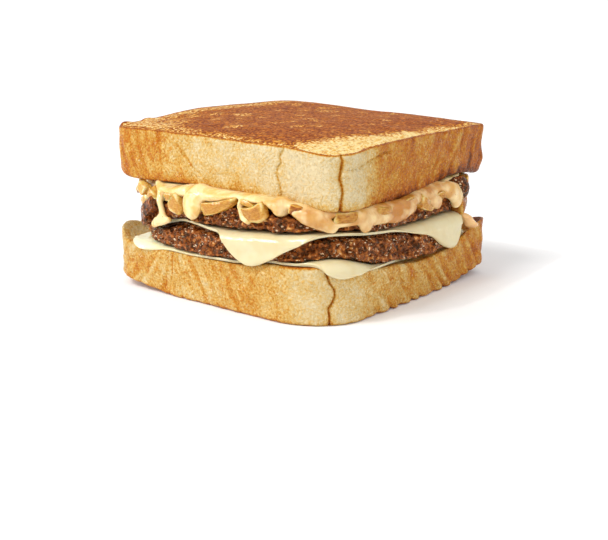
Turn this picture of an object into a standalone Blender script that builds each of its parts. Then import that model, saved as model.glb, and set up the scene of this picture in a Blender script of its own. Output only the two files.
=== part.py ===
"""Patty melt: two thick slices of toasted white bread round two beef patties, two melted cheese slices,
fried onions and a creamy sauce.

Metres, +Z up. The origin is on the table under the middle of the lower slice. The front of the sandwich
faces -Y and its right side faces +X. A direction round the upright axis is a compass angle in degrees:
0 points right, -90 to the front, 90 to the back and 180 to the left.
"""

import math
import random

import bmesh
import bpy
from mathutils import noise
from mathutils import Vector

MM = 0.001
GAP = 0.36 * MM                   # air between neighbouring layers, which really touch
SLICE_HALF = 56.0 * MM            # half the width of a slice of bread
PATTY_HALF = 56.6 * MM            # half the width of a pressed, squarish patty
BEND_RADIUS = 2.0 * MM            # how tightly soft cheese or sauce turns over the edge that carries it
CHEESE_THICKNESS = 2.7 * MM
CHEESE_LEAST = 1.2 * MM           # thickness where it rides up a curled corner, outside the patty
CHEESE_LIFT = 0.45 * MM           # air under a cheese slice, which keeps its bend clear of a rounded edge
CHEESE_CURL = 1.6                 # how much steeper than the bread the bottom cheese rides up a curled corner
CHEESE_TAPER = 0.35               # share of its thickness that a flap loses at its tip
SAUCE_THICKNESS = 2.6 * MM        # where it hangs
SAUCE_FILL = 4.6 * MM             # at most this thick under the edge of the upper slice
ONION_THICKNESS = 3.6 * MM
ONION_BED_THICKNESS = 0.6 * MM    # at the edge of the patty
ONION_CROWN = 2.4 * MM            # how much thicker the bed of onions is in the middle
ONION_BED_REACH = -1.2 * MM       # how far the bed stops short of the patty's edge

# Height of each layer's surface above the table, in mm: at the sandwich's middle, and at its rim in the
# directions of RIM_ANGLES. The bread is squashed under the patties and the upper slice leans to the front.
RIM_ANGLES = (-127, -105, -80, -60, -43, -20, 5, 30, 90, 135, 180)
LEVELS = {
    "slice_lower": (16.5, (18.5, 18.0, 18.2, 21.2, 21.8, 17.2, 15.0, 16.5, 17.5, 18.5, 17.8)),
    "patty_lower_base": (19.0, (21.0, 20.3, 20.3, 23.4, 25.3, 19.6, 17.2, 19.5, 20.0, 21.0, 20.2)),
    "patty_lower": (28.0, (26.2, 27.5, 27.6, 30.2, 32.0, 30.4, 28.8, 28.5, 28.5, 28.5, 28.0)),
    "patty_upper_base": (30.8, (28.3, 29.8, 29.9, 32.4, 34.4, 33.8, 33.2, 35.8, 31.5, 31.5, 31.0)),
    "patty_upper": (38.6, (36.4, 37.8, 38.0, 38.3, 38.4, 38.2, 38.4, 41.6, 40.5, 41.0, 40.5)),
    "slice_upper_base": (45.6, (44.1, 44.6, 44.2, 43.0, 41.2, 40.9, 41.6, 44.6, 46.5, 47.0, 45.7)),
    "slice_upper": (66.2, (64.0, 63.6, 62.8, 61.9, 61.3, 62.8, 63.2, 62.6, 65.0, 67.2, 67.7)),
}
DOME_POWER = 2.5                  # how late towards the rim the griddled top leaves its middle height

# Corner radii in mm, in the order near (+X -Y), right (+X +Y), back (-X +Y), left (-X -Y).
SLICE_LOWER_CORNERS = (24, 7, 13, 14)
SLICE_UPPER_CORNERS = (11, 9, 10, 9)
PATTY_LOWER_CORNERS = (28, 35, 38, 38)
PATTY_UPPER_CORNERS = (28, 32, 34, 33)
SLICE_UPPER_HALF = 55.8 * MM
SLICE_UPPER_SHIFT = (-1.3 * MM, 3.2 * MM)
SLICE_UPPER_TURN = 2.3            # degrees about the upright axis

# Bumps round the rim: (angle, width before it, width after it, size in mm), angles and widths in degrees.
BREAD_EARS = ((-141, 15, 14, 6.5), (44, 14, 20, 8.0), (135, 16, 16, 3.5))
BASE_CURL = ((-135, 26, 26, 3.0), (45, 24, 24, 3.5))
CHEESE_BOTTOM_FLAPS = ((-118, 13, 20, 6.6), (-90, 22, 30, 3.4), (-41, 24, 28, 8.0), (90, 30, 25, 5.0))
CHEESE_MIDDLE_FLAPS = ((-105, 20, 30, 2.8), (-67, 16, 22, 14.5), (-38, 20, 20, 3.2), (21, 34, 9, 18.5),
                       (112, 18, 18, 8.5), (-160, 18, 16, 7.5))
PATTY_KNOB = ((29, 8, 8, 4.6),)
SAUCE_LOBES = (
    (-113, 6, 6, 11.0), (-96, 6, 7, 6.4), (-74, 5, 5, 6.6), (-60, 4, 4, 1.8), (-46, 8, 5, 5.2),
    (-31, 5, 4, 5.6), (-18, 7, 9, 5.0), (4, 6, 5, 5.0), (14, 7, 7, 9.0),
)
CHEESE_BASE_REACH = -3.5 * MM     # how far a cheese slice stops short of its carrier's edge between flaps
SAUCE_BASE_REACH = -1.2 * MM      # how far the sauce stops short of the patty's edge between its lobes
# Fried onions that show: (angle, half width in steps of SAUCE_STEP, length past the patty's edge in mm)
ONIONS = ((-122, 2, 3.5), (-104, 2, 6.0), (-84, 3, 3.5), (-66, 2, 4.0), (-54, 1, 1.5), (-38, 2, 3.0),
          (-26, 1, 1.0), (-4, 2, 5.5))
HIDDEN_SIDE = (42, 226, 20)       # first and last angle of the unseen sides, and the space between onions
DROP_TOP = (54.4, 34.8, 31.6)     # ends of the separate drop of sauce, in mm
DROP_FOOT = (58.4, 38.8, 20.2)
DROP_FACING = 33.0                # compass angle that the drop faces
DROP_WIDTH = 3.2 * MM             # half sizes of the drop
DROP_DEPTH = 1.7 * MM
DROP_BULGE = 1.2 * MM
DROP_WAIST = 0.35                 # share of its width that the drop gains at its waist and loses at its ends
CRAG_SIZE = 6.0 * MM              # the crags of a patty's edge
CRAG_DEPTH = 2.0 * MM
CRAG_SQUEEZE = 0.35               # share of a crag's depth that is also taken off the patty's thickness
PATTY_WAVE = 1.2 * MM             # slow unevenness of a patty's outline
PATTY_EDGE_POWER = 9.0            # how square a patty's edge is in section
DENT_DEPTH = 0.9 * MM             # the soft dents of a crust
DENT_TURNS = 3.2                  # how closely they follow each other round the slice
SHARP_ANGLE = 50.0                # edges sharper than this many degrees stay crisp
SAUCE_DIP = 1.0 * MM              # air left over the middle of the sauce
SAUCE_STEP = 2                    # degrees between the columns of the sauce
ONION_CLEARANCE = 0.7             # degrees between an onion and the sauce beside it
COLUMNS = 72                      # vertices round the rim of the bread, the cheese and the patties
FLAT_SHARE = 0.92                 # share of its radius up to which a layer is one flat cone
SEED = 11

COLOURS = {
    "bread": (0.80, 0.55, 0.26), "cheese": (0.90, 0.80, 0.52), "beef": (0.16, 0.075, 0.045),
    "onion": (0.72, 0.47, 0.20), "sauce": (0.88, 0.64, 0.36),
}
ROUGHNESS = {"bread": 0.75, "cheese": 0.35, "beef": 0.45, "onion": 0.30, "sauce": 0.30}


def smoothstep(low, high, value):
    """Rise from 0 at low to 1 at high without a kink."""
    t = min(max((value - low) / (high - low), 0.0), 1.0)
    return t * t * (3.0 - 2.0 * t)


def angle_between(angle, other):
    """Signed difference of two compass angles in degrees, from -180 to 180."""
    return (angle - other + 180.0) % 360.0 - 180.0


def bumps(angle, shapes, power=2.0):
    """Height in metres of the tallest of some bumps round the rim at an angle; a low power is blunt."""
    height = 0.0
    for centre, before, after, size in shapes:
        offset = angle_between(angle, centre)
        share = offset / (after if offset > 0.0 else before)
        if abs(share) < 1.0:
            height = max(height, size * MM * math.cos(share * math.pi / 2.0) ** power)
    return height


def rim_height(values, angle):
    """Read a row of rim heights at any angle, easing from one direction to the next."""
    for index, left in enumerate(RIM_ANGLES):
        nxt = (index + 1) % len(RIM_ANGLES)
        span = (RIM_ANGLES[nxt] - left) % 360.0
        offset = (angle - left) % 360.0
        if offset < span:
            share = smoothstep(0.0, span, offset)
            return (values[index] + (values[nxt] - values[index]) * share) * MM
    return values[0] * MM


def square_radius(angle, half, corners):
    """Distance from the middle of a square with rounded corners to its outline."""
    direction = Vector((math.cos(math.radians(angle)), math.sin(math.radians(angle))))
    right = direction.x > 0.0
    front = direction.y < 0.0
    corner = corners[(0 if front else 1) if right else (3 if front else 2)] * MM
    inner = half - corner
    reach = half / max(abs(direction.x), abs(direction.y))
    if reach * min(abs(direction.x), abs(direction.y)) <= inner:
        return reach
    centre = Vector((math.copysign(inner, direction.x), math.copysign(inner, direction.y)))
    along = centre.dot(direction)
    return along + math.sqrt(max(along * along - centre.length_squared + corner * corner, 0.0))


def waves(angle, seed):
    """Slow, repeatable unevenness round the rim, never above zero."""
    draw = random.Random(seed)
    counts = (5, 9, 14)
    total = 0.0
    for count in counts:
        total += math.sin(math.radians(angle) * count + draw.uniform(0.0, 2.0 * math.pi)) - 1.0
    return PATTY_WAVE * total / (2.0 * len(counts))


def polar(x, y):
    """Compass angle and distance from the upright axis of a point."""
    return math.degrees(math.atan2(y, x)), math.hypot(x, y)


def level(name, x, y, power=1.0):
    """Height of a layer's surface over a point of the table, a flat cone unless a power rounds it."""
    middle, rim = LEVELS[name]
    angle, radius = polar(x, y)
    share = radius / slice_lower_radius(angle)
    return middle * MM + (rim_height(rim, angle) - middle * MM) * share ** power


def bread_level(x, y, curl=1.0):
    """Upper surface of the lower slice, with its corners curled up outside the patty."""
    angle, radius = polar(x, y)
    beyond = (radius / slice_lower_radius(angle) - FLAT_SHARE) / (1.0 - FLAT_SHARE)
    return level("slice_lower", x, y) + curl * bumps(angle, BREAD_EARS) * max(beyond, 0.0)


def cheese_bottom_seat(x, y):
    """Surface that the bottom cheese lies on, a little over the curled corners."""
    return bread_level(x, y, CHEESE_CURL)


def slice_lower_radius(angle):
    """Outline of the lower slice."""
    return square_radius(angle, SLICE_HALF, SLICE_LOWER_CORNERS)


def patty_lower_radius(angle):
    """Outline of the lower patty."""
    return square_radius(angle, PATTY_HALF, PATTY_LOWER_CORNERS) + waves(angle, SEED)


def cheese_middle_edge(angle):
    """Edge that the middle cheese hangs over: the lower patty's, or the bread's where that is just outside."""
    patty = patty_lower_radius(angle)
    return patty + min(max(slice_lower_radius(angle) - patty, 0.0), 1.5 * MM)


def patty_upper_radius(angle):
    """Outline of the upper patty, but for the lump at its right corner, which stays bare."""
    return square_radius(angle, PATTY_HALF, PATTY_UPPER_CORNERS) + waves(angle, SEED + 1)


def patty_upper_knobbed(angle):
    """Outline of the upper patty with its lump."""
    return patty_upper_radius(angle) + bumps(angle, PATTY_KNOB, 1.0)


def spun_mesh(name, profile, steps, place):
    """Turn a half profile of (share of radius, height) points round the axis and place each vertex.

    The place function gets a vertex's compass angle, its share of the radius and its profile height.
    """
    mesh = bmesh.new()
    points = [mesh.verts.new((share, 0.0, height)) for share, height in profile]
    edges = [mesh.edges.new(pair) for pair in zip(points, points[1:])]
    bmesh.ops.spin(mesh, geom=points + edges, cent=(0, 0, 0), axis=(0, 0, 1), angle=2.0 * math.pi,
                   steps=steps, use_merge=True)
    bmesh.ops.remove_doubles(mesh, verts=mesh.verts, dist=1e-5)
    for vertex in mesh.verts:
        angle, share = polar(vertex.co.x, vertex.co.y)
        vertex.co = place(angle, share, vertex.co.z)
    bmesh.ops.recalc_face_normals(mesh, faces=mesh.faces)
    data = bpy.data.meshes.new(name)
    mesh.to_mesh(data)
    mesh.free()
    return data


def material(kind):
    """Make the plain finish of one kind of food."""
    finish = bpy.data.materials.get(kind) or bpy.data.materials.new(kind)
    finish.use_nodes = True
    shader = finish.node_tree.nodes["Principled BSDF"]
    shader.inputs["Base Color"].default_value = (*COLOURS[kind], 1.0)
    shader.inputs["Roughness"].default_value = ROUGHNESS[kind]
    shader.inputs["Metallic"].default_value = 0.0
    return finish


def add_piece(name, data, kind, collection):
    """Put a finished mesh in the sandwich as one named piece."""
    data.materials.append(material(kind))
    data.shade_smooth()
    data.set_sharp_from_angle(angle=math.radians(SHARP_ANGLE))
    piece = bpy.data.objects.new(name, data)
    collection.objects.link(piece)
    return piece


def crust_dent(angle, height, seed):
    """Depth of the soft dents in a slice's crust."""
    direction = Vector((math.cos(math.radians(angle)), math.sin(math.radians(angle)), 0.0))
    spot = direction * DENT_TURNS + Vector((0.0, 0.0, height + seed))
    return DENT_DEPTH * max(noise.noise(spot) + 0.1, 0.0)


SLICE_PROFILE = ((0, -1), (0.7, -1), (0.98, -1), (1, -0.9), (1, -0.4), (1, 0.1), (1, 0.5),
                 (1, 0.86), (0.972, 1), (FLAT_SHARE, 1), (0.55, 1), (0, 1))


def build_slice_lower(collection):
    """The lower slice: flat underneath, squashed in the middle, its left and right corners curled up."""
    def place(angle, share, height):
        radius = slice_lower_radius(angle)
        side = smoothstep(0.9, 1.0, share)
        radius = radius * share - crust_dent(angle, height, 0.0) * side
        x = radius * math.cos(math.radians(angle))
        y = radius * math.sin(math.radians(angle))
        foot = bumps(angle, BASE_CURL) * smoothstep(0.7, 1.0, share)
        top = bread_level(x, y)
        return Vector((x, y, foot + (top - foot) * (height + 1.0) / 2.0))

    add_piece("bread_bottom", spun_mesh("bread_bottom", SLICE_PROFILE, COLUMNS, place), "bread", collection)


def build_slice_upper(collection):
    """The upper slice, set back a little, turned a little and leaning to the front."""
    turn = math.radians(SLICE_UPPER_TURN)

    def place(angle, share, height):
        radius = square_radius(angle, SLICE_UPPER_HALF, SLICE_UPPER_CORNERS)
        side = smoothstep(0.9, 1.0, share)
        radius = radius * share - crust_dent(angle, height, 5.0) * side
        x = radius * math.cos(math.radians(angle) + turn) + SLICE_UPPER_SHIFT[0]
        y = radius * math.sin(math.radians(angle) + turn) + SLICE_UPPER_SHIFT[1]
        base = level("slice_upper_base", x, y)
        top = level("slice_upper", x, y, DOME_POWER)
        return Vector((x, y, base + (top - base) * (height + 1.0) / 2.0))

    add_piece("bread_top", spun_mesh("bread_top", SLICE_PROFILE, COLUMNS, place), "bread", collection)


def build_patty(name, outline, base_name, top_name, seed, collection):
    """A pressed patty with a rounded, craggy edge. Crags only cut in from the smooth form."""
    rim_heights = (-0.92, -0.6, -0.2, 0.2, 0.6, 0.92)
    power = PATTY_EDGE_POWER
    rim = [((1.0 - abs(height) ** power) ** (1.0 / power), height) for height in rim_heights]
    profile = [(0.0, -1.0), (FLAT_SHARE, -1.0), *rim, (FLAT_SHARE, 1.0), (0.0, 1.0)]

    def place(angle, share, height):
        radius = outline(angle) * share
        x = radius * math.cos(math.radians(angle))
        y = radius * math.sin(math.radians(angle))
        base = level(base_name, x, y)
        top = level(top_name, x, y)
        spot = Vector((x, y, base + (top - base) * height)) / CRAG_SIZE + Vector((seed, seed, seed))
        crag = CRAG_DEPTH * max(noise.noise(spot) + 0.4, 0.0) * smoothstep(0.8, 1.0, share)
        middle = (base + top) / 2.0
        half = (top - base) / 2.0 - crag * CRAG_SQUEEZE
        return Vector((x - crag * math.cos(math.radians(angle)), y - crag * math.sin(math.radians(angle)),
                       middle + half * height))

    add_piece(name, spun_mesh(name, profile, COLUMNS, place), "beef", collection)


def drape(angle, run, lift, edge, surface):
    """Point of a soft sheet that lies on a layer and hangs over the layer's edge.

    run is the way from the axis measured along the sheet, and lift the height above the layer.
    """
    start = edge(angle) - BEND_RADIUS
    cosine = math.cos(math.radians(angle))
    sine = math.sin(math.radians(angle))
    if run <= start:
        return Vector((run * cosine, run * sine, surface(run * cosine, run * sine) + lift))
    turned = min((run - start) / BEND_RADIUS, math.pi / 2.0)
    fall = max(run - start - BEND_RADIUS * math.pi / 2.0, 0.0)
    reach = start + (BEND_RADIUS + lift) * math.sin(turned)
    height = surface(start * cosine, start * sine) - BEND_RADIUS + (BEND_RADIUS + lift) * math.cos(turned)
    return Vector((reach * cosine, reach * sine, height - fall))


# Rings of a sheet, named by the share of the profile: flat up to the knee, then turned halfway and fully.
KNEE, HALF_TURN, FULL_TURN, TIP = 0.90, 0.92, 0.94, 0.985
LAST_RING = 0.15 * MM             # least way from the full turn to a sheet's end
SHEET_PROFILE = ((0, -1), (KNEE, -1), (HALF_TURN, -1), (FULL_TURN, -1), (TIP, -1), (1, -0.4),
                 (1, 0.4), (TIP, 1), (FULL_TURN, 1), (HALF_TURN, 1), (KNEE, 1), (0, 1))


def sheet_run(angle, share, edge, reach):
    """Way along a sheet at a share of its profile, for a sheet that ends at reach past the edge."""
    end = edge(angle) + reach
    knee = min(edge(angle) - BEND_RADIUS, end - BEND_RADIUS)
    if share <= KNEE:
        return knee * share / KNEE
    bend = BEND_RADIUS * math.pi / 2.0 * min((share - KNEE) / (FULL_TURN - KNEE), 1.0)
    turned = min(knee + bend, end - LAST_RING)
    return turned + (end - turned) * max(share - FULL_TURN, 0.0) / (1.0 - FULL_TURN)


def build_cheese(name, edge, surface, ceiling, flaps, collection):
    """A slice of melted cheese whose corners hang down over what carries it."""
    def place(angle, share, height):
        run = sheet_run(angle, share, edge, CHEESE_BASE_REACH + bumps(angle, flaps))
        flat = min(run, edge(angle) - BEND_RADIUS)
        x = flat * math.cos(math.radians(angle))
        y = flat * math.sin(math.radians(angle))
        room = level(ceiling, x, y) - surface(x, y) - CHEESE_LIFT - GAP
        thickness = min(CHEESE_THICKNESS, max(room, CHEESE_LEAST))
        thin = 1.0 - CHEESE_TAPER * smoothstep(FULL_TURN, 1.0, share)
        return drape(angle, run, CHEESE_LIFT + thickness * thin * (height + 1.0) / 2.0, edge, surface)

    add_piece(name, spun_mesh(name, SHEET_PROFILE, COLUMNS, place), "cheese", collection)


def all_onions():
    """The onions that show and, by a seeded rule, those on the unseen sides."""
    draw = random.Random(SEED)
    first, last, spacing = HIDDEN_SIDE
    hidden = [(angle, 1, draw.uniform(1.0, 5.0)) for angle in range(first, last, spacing)]
    return list(ONIONS) + hidden


def all_lobes():
    """The sauce's lobes that show and, between the hidden onions, the unseen ones."""
    draw = random.Random(SEED + 2)
    first, last, spacing = HIDDEN_SIDE
    middles = range(first + spacing // 2, last, spacing)
    return list(SAUCE_LOBES) + [(angle, 6, 6, draw.uniform(2.0, 9.0)) for angle in middles]


def sauce_reach(angle, lobes, onions):
    """How far the sauce goes past the patty's edge, which is nowhere that an onion comes out under it."""
    for centre, half_steps, _ in onions:
        if abs(angle_between(angle, centre)) < half_steps * SAUCE_STEP + 0.1:
            return SAUCE_BASE_REACH
    return SAUCE_BASE_REACH + bumps(angle, lobes, 1.0)


def patty_upper_level(x, y):
    """Upper surface of the upper patty."""
    return level("patty_upper", x, y)


def bed_top(angle, run):
    """Lift of the top of the onion bed over the patty, thickest in the middle."""
    share = min(run / (patty_upper_radius(angle) - BEND_RADIUS), 1.0)
    return GAP + ONION_BED_THICKNESS + ONION_CROWN * (1.0 - share)


def filling_room(angle, run):
    """Free height over the upper patty, under the upper slice, at a way along a sheet."""
    flat = min(run, patty_upper_radius(angle) - BEND_RADIUS)
    x = flat * math.cos(math.radians(angle))
    y = flat * math.sin(math.radians(angle))
    return level("slice_upper_base", x, y) - patty_upper_level(x, y) - GAP


def build_sauce(collection):
    """The sauce between the onions and the upper slice, running down the patty in lobes."""
    lobes = all_lobes()
    onions = all_onions()

    def place(angle, share, height):
        run = sheet_run(angle, share, patty_upper_radius, sauce_reach(angle, lobes, onions))
        beyond = run - patty_upper_radius(angle)
        low = bed_top(angle, run) + GAP
        room = filling_room(angle, run) - low
        room = min(room, SAUCE_FILL) if share > 0.0 else room - SAUCE_DIP
        room += (SAUCE_THICKNESS - room) * smoothstep(-2.0 * MM, 1.0 * MM, beyond)
        low -= (low - GAP) * smoothstep(0.0, 3.0 * MM, beyond)
        return drape(angle, run, low + room * (height + 1.0) / 2.0, patty_upper_radius, patty_upper_level)

    add_piece("sauce", spun_mesh("sauce", SHEET_PROFILE, 360 // SAUCE_STEP, place), "sauce", collection)


def onion_mesh(angle, half_width, length, seed):
    """One cooked piece of onion that comes out of the bed and bends down over the patty's edge."""
    draw = random.Random(seed)
    mesh = bmesh.new()
    bmesh.ops.create_cube(mesh, size=2.0)
    long_edges = [edge for edge in mesh.edges if abs(edge.verts[0].co.x - edge.verts[1].co.x) > 1.0]
    bmesh.ops.subdivide_edges(mesh, edges=long_edges, cuts=5)
    tip_edges = [edge for edge in mesh.edges if all(vertex.co.x > 0.9 for vertex in edge.verts)]
    bmesh.ops.bevel(mesh, geom=tip_edges, offset=0.16, segments=1, affect="EDGES")
    inner = -4.0 * MM
    skews = [draw.uniform(-0.25, 0.0) for _ in range(2)]
    for vertex in mesh.verts:
        along = (vertex.co.x + 1.0) / 2.0
        side = vertex.co.y * (1.0 + skews[0 if vertex.co.y > 0.0 else 1] * along ** 2)
        here = angle + side * half_width
        run = patty_upper_radius(here) + inner + (length * MM - inner) * along
        outside = smoothstep(0.2 * MM, 1.8 * MM, run - patty_upper_radius(here))
        thickness = ONION_BED_THICKNESS * 0.9 + (ONION_THICKNESS - ONION_BED_THICKNESS) * outside
        lift = GAP * 1.05 + thickness * (vertex.co.z + 1.0) / 2.0
        vertex.co = drape(here, run, lift, patty_upper_radius, patty_upper_level)
    bmesh.ops.recalc_face_normals(mesh, faces=mesh.faces)
    data = bpy.data.meshes.new("onion")
    mesh.to_mesh(data)
    mesh.free()
    return data


def build_onions(collection):
    """A bed of fried onions on the upper patty with the pieces that show at the sides joined on."""
    def place(angle, share, height):
        run = (patty_upper_radius(angle) + ONION_BED_REACH) * share
        top = bed_top(angle, run)
        return drape(angle, run, GAP + (top - GAP) * (height + 1.0) / 2.0, patty_upper_radius, patty_upper_level)

    knee = 0.96
    profile = ((0, -1), (knee, -1), (1, 0), (knee, 1), (0, 1))
    bed = add_piece("onions", spun_mesh("onions", profile, COLUMNS, place), "onion", collection)
    pieces = bpy.data.collections.new("onion_pieces")
    bpy.context.scene.collection.children.link(pieces)
    for index, (angle, half_steps, length) in enumerate(all_onions()):
        half_width = half_steps * SAUCE_STEP - ONION_CLEARANCE
        data = onion_mesh(angle, half_width, length, SEED + index)
        pieces.objects.link(bpy.data.objects.new("onion_piece", data))
    union = bed.modifiers.new("pieces", "BOOLEAN")
    union.operation = "UNION"
    union.solver = "EXACT"
    union.operand_type = "COLLECTION"
    union.collection = pieces
    bpy.context.view_layer.update()
    joined = bpy.data.meshes.new_from_object(bed.evaluated_get(bpy.context.evaluated_depsgraph_get()))
    bed.modifiers.clear()
    bed.data = joined
    for piece in list(pieces.objects):
        bpy.data.objects.remove(piece)
    bpy.data.collections.remove(pieces)


def build_sauce_drop(collection):
    """The run of sauce that has dropped from under the upper patty on to the curled right corner."""
    top = Vector(DROP_TOP) * MM
    foot = Vector(DROP_FOOT) * MM
    outward = Vector((math.cos(math.radians(DROP_FACING)), math.sin(math.radians(DROP_FACING)), 0.0))
    across = Vector((-outward.y, outward.x, 0.0))
    mesh = bmesh.new()
    bmesh.ops.create_uvsphere(mesh, u_segments=14, v_segments=10, radius=1.0)
    for vertex in mesh.verts:
        along = (1.0 - vertex.co.z) / 2.0
        waist = 1.0 - DROP_WAIST * math.cos((along - 0.5) * 2.0 * math.pi)
        middle = top.lerp(foot, along) + outward * DROP_BULGE * math.sin(along * math.pi)
        half_width = DROP_WIDTH * waist * (0.75 + 0.5 * along)
        vertex.co = middle + outward * vertex.co.x * DROP_DEPTH * waist + across * vertex.co.y * half_width
    bmesh.ops.recalc_face_normals(mesh, faces=mesh.faces)
    data = bpy.data.meshes.new("sauce_drop")
    mesh.to_mesh(data)
    mesh.free()
    add_piece("sauce_drop", data, "sauce", collection)


def main():
    """Clear the scene and build the sandwich from the bottom up."""
    for thing in list(bpy.data.objects):
        bpy.data.objects.remove(thing)
    sandwich = bpy.data.collections.new("patty_melt")
    bpy.context.scene.collection.children.link(sandwich)
    build_slice_lower(sandwich)
    build_cheese("cheese_bottom", slice_lower_radius, cheese_bottom_seat, "patty_lower_base",
                 CHEESE_BOTTOM_FLAPS, sandwich)
    build_patty("patty_lower", patty_lower_radius, "patty_lower_base", "patty_lower", 3.0, sandwich)
    build_cheese("cheese_middle", cheese_middle_edge, lambda x, y: level("patty_lower", x, y),
                 "patty_upper_base", CHEESE_MIDDLE_FLAPS, sandwich)
    build_patty("patty_upper", patty_upper_knobbed, "patty_upper_base", "patty_upper", 9.0, sandwich)
    build_onions(sandwich)
    build_sauce(sandwich)
    build_sauce_drop(sandwich)
    build_slice_upper(sandwich)


main()
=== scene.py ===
"""Dress the patty melt: griddled bread, craggy beef, melted cheese, fried onions and creamy sauce.

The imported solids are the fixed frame, and each of them is replaced by a finer piece of the same form.
Metres, +Z up, the front to -Y and the right side to +X. A direction round the upright axis is a compass
angle in degrees: 0 points right, -90 to the front, 90 to the back and 180 to the left. The photograph is
taken from the corner between front and right, so that its left half is the front face.
"""

from __future__ import annotations

import logging
import math
import random
from dataclasses import dataclass
from enum import Enum
from functools import lru_cache
from typing import Callable
from typing import Sequence

import bpy
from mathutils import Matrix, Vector
from mathutils import noise

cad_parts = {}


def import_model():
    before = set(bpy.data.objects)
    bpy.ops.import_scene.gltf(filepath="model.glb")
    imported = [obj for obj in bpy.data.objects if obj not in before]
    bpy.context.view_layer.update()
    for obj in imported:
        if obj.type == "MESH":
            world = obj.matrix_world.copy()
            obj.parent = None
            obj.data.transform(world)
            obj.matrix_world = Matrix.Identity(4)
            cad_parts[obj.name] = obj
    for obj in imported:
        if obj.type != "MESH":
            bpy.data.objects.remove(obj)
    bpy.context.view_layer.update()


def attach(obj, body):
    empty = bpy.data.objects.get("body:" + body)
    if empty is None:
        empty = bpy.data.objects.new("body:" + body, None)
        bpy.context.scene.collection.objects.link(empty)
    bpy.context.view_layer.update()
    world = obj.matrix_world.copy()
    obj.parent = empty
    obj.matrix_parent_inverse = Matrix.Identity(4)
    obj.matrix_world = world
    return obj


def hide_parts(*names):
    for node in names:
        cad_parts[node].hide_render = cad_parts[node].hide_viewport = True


LOG = logging.getLogger("patty_melt")
MM = 0.001
SEED = 11
# Without a seed the vector noise of the beef and the onions takes its offsets from the clock.
NOISE_SEED = 1795524956

Knots = Sequence[tuple[float, float]]
Bumps = Sequence[tuple[float, float, float, float]]
Place = Callable[[float, float, float], Vector]
Tint = Callable[[float, float, float, Vector], float]
Colour = tuple[int, int, int]
Stops = Sequence[tuple[float, Colour]]


def smoothstep(low: float, high: float, value: float) -> float:
    """Rise from 0 at low to 1 at high without a kink."""
    t = min(max((value - low) / (high - low), 0.0), 1.0)
    return t * t * (3.0 - 2.0 * t)


def angle_between(angle: float, other: float) -> float:
    """Signed difference of two compass angles in degrees, from -180 to 180."""
    return (angle - other + 180.0) % 360.0 - 180.0


def bumps(angle: float, shapes: Bumps, power: float = 2.0) -> float:
    """Height of the tallest of some bumps round the rim.

    Args:
        angle: Compass angle.
        shapes: Centre, width before it and width after it in degrees, and size in mm, of each bump.
        power: How pointed a bump is; a low power is blunt.

    Returns:
        The height in metres, never below zero.
    """
    height = 0.0
    for centre, before, after, size in shapes:
        offset = angle_between(angle, centre)
        share = offset / (after if offset > 0.0 else before)
        if abs(share) < 1.0:
            height = max(height, size * MM * math.cos(share * math.pi / 2.0) ** power)
    return height


def round_rim(knots: Knots, angle: float) -> float:
    """Read a value at any compass angle from (angle, value) knots, easing from one to the next.

    Args:
        knots: (angle, value) pairs.
        angle: Compass angle.

    Returns:
        The value at the angle.
    """
    for (first, value), (second, following) in zip(knots, [*knots[1:], knots[0]]):
        span = (second - first) % 360.0
        offset = (angle - first) % 360.0
        if offset < span:
            return value + (following - value) * smoothstep(0.0, span, offset)
    return knots[0][1]


def round_curve(knots: Knots, angle: float) -> float:
    """Read a value at any compass angle from (angle, value) knots, on a smooth curve through all of them.

    Args:
        knots: (angle, value) pairs.
        angle: Compass angle.

    Returns:
        The value at the angle.
    """
    count = len(knots)
    for index in range(count):
        (start, value), (end, following) = knots[index], knots[(index + 1) % count]
        span = (end - start) % 360.0
        offset = (angle - start) % 360.0
        if offset < span:
            before = knots[index - 1]
            after = knots[(index + 2) % count]
            rise = (following - before[1]) / max((end - before[0]) % 360.0, 1.0) * span
            next_rise = (after[1] - value) / max((after[0] - start) % 360.0, 1.0) * span
            t = offset / span
            return (value * (2 * t ** 3 - 3 * t ** 2 + 1) + rise * (t ** 3 - 2 * t ** 2 + t)
                    + following * (3 * t ** 2 - 2 * t ** 3) + next_rise * (t ** 3 - t ** 2))
    return knots[0][1]


def along(knots: Knots, at: float) -> float:
    """Read a value from (position, value) knots in rising order, in straight runs.

    Args:
        knots: (position, value) pairs.
        at: The position.

    Returns:
        The value there.
    """
    for (first, value), (second, following) in zip(knots, knots[1:]):
        if at <= second:
            return value + (following - value) * min(max((at - first) / (second - first), 0.0), 1.0)
    return knots[-1][1]


def compass(angle: float) -> Vector:
    """Level unit vector of a compass angle."""
    return Vector((math.cos(math.radians(angle)), math.sin(math.radians(angle)), 0.0))


def square_radius(angle: float, half: float, corners: Sequence[float]) -> float:
    """Distance from the middle of a square with rounded corners to its outline.

    Args:
        angle: Compass angle.
        half: Half the width of the square.
        corners: Corner radii in mm: near (+X -Y), right (+X +Y), back (-X +Y) and left (-X -Y).

    Returns:
        The distance in metres.
    """
    way = compass(angle)
    front = way.y < 0.0
    corner = corners[(0 if front else 1) if way.x > 0.0 else (3 if front else 2)] * MM
    inner = half - corner
    reach = half / max(abs(way.x), abs(way.y))
    if reach * min(abs(way.x), abs(way.y)) <= inner:
        return reach
    centre = Vector((math.copysign(inner, way.x), math.copysign(inner, way.y), 0.0))
    run = centre.dot(way)
    return run + math.sqrt(max(run * run - centre.length_squared + corner * corner, 0.0))


def waves(angle: float, seed: int, size: float) -> float:
    """Slow, repeatable unevenness round the rim, never above zero.

    Args:
        angle: Compass angle.
        seed: Number that the pattern comes from.
        size: Depth of the deepest trough in metres.

    Returns:
        The unevenness in metres.
    """
    draw = random.Random(seed)
    counts = (5, 9, 14)
    total = sum(math.sin(math.radians(angle) * count + draw.uniform(0.0, 2.0 * math.pi)) - 1.0
                for count in counts)
    return size * total / (2.0 * len(counts))


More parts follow.
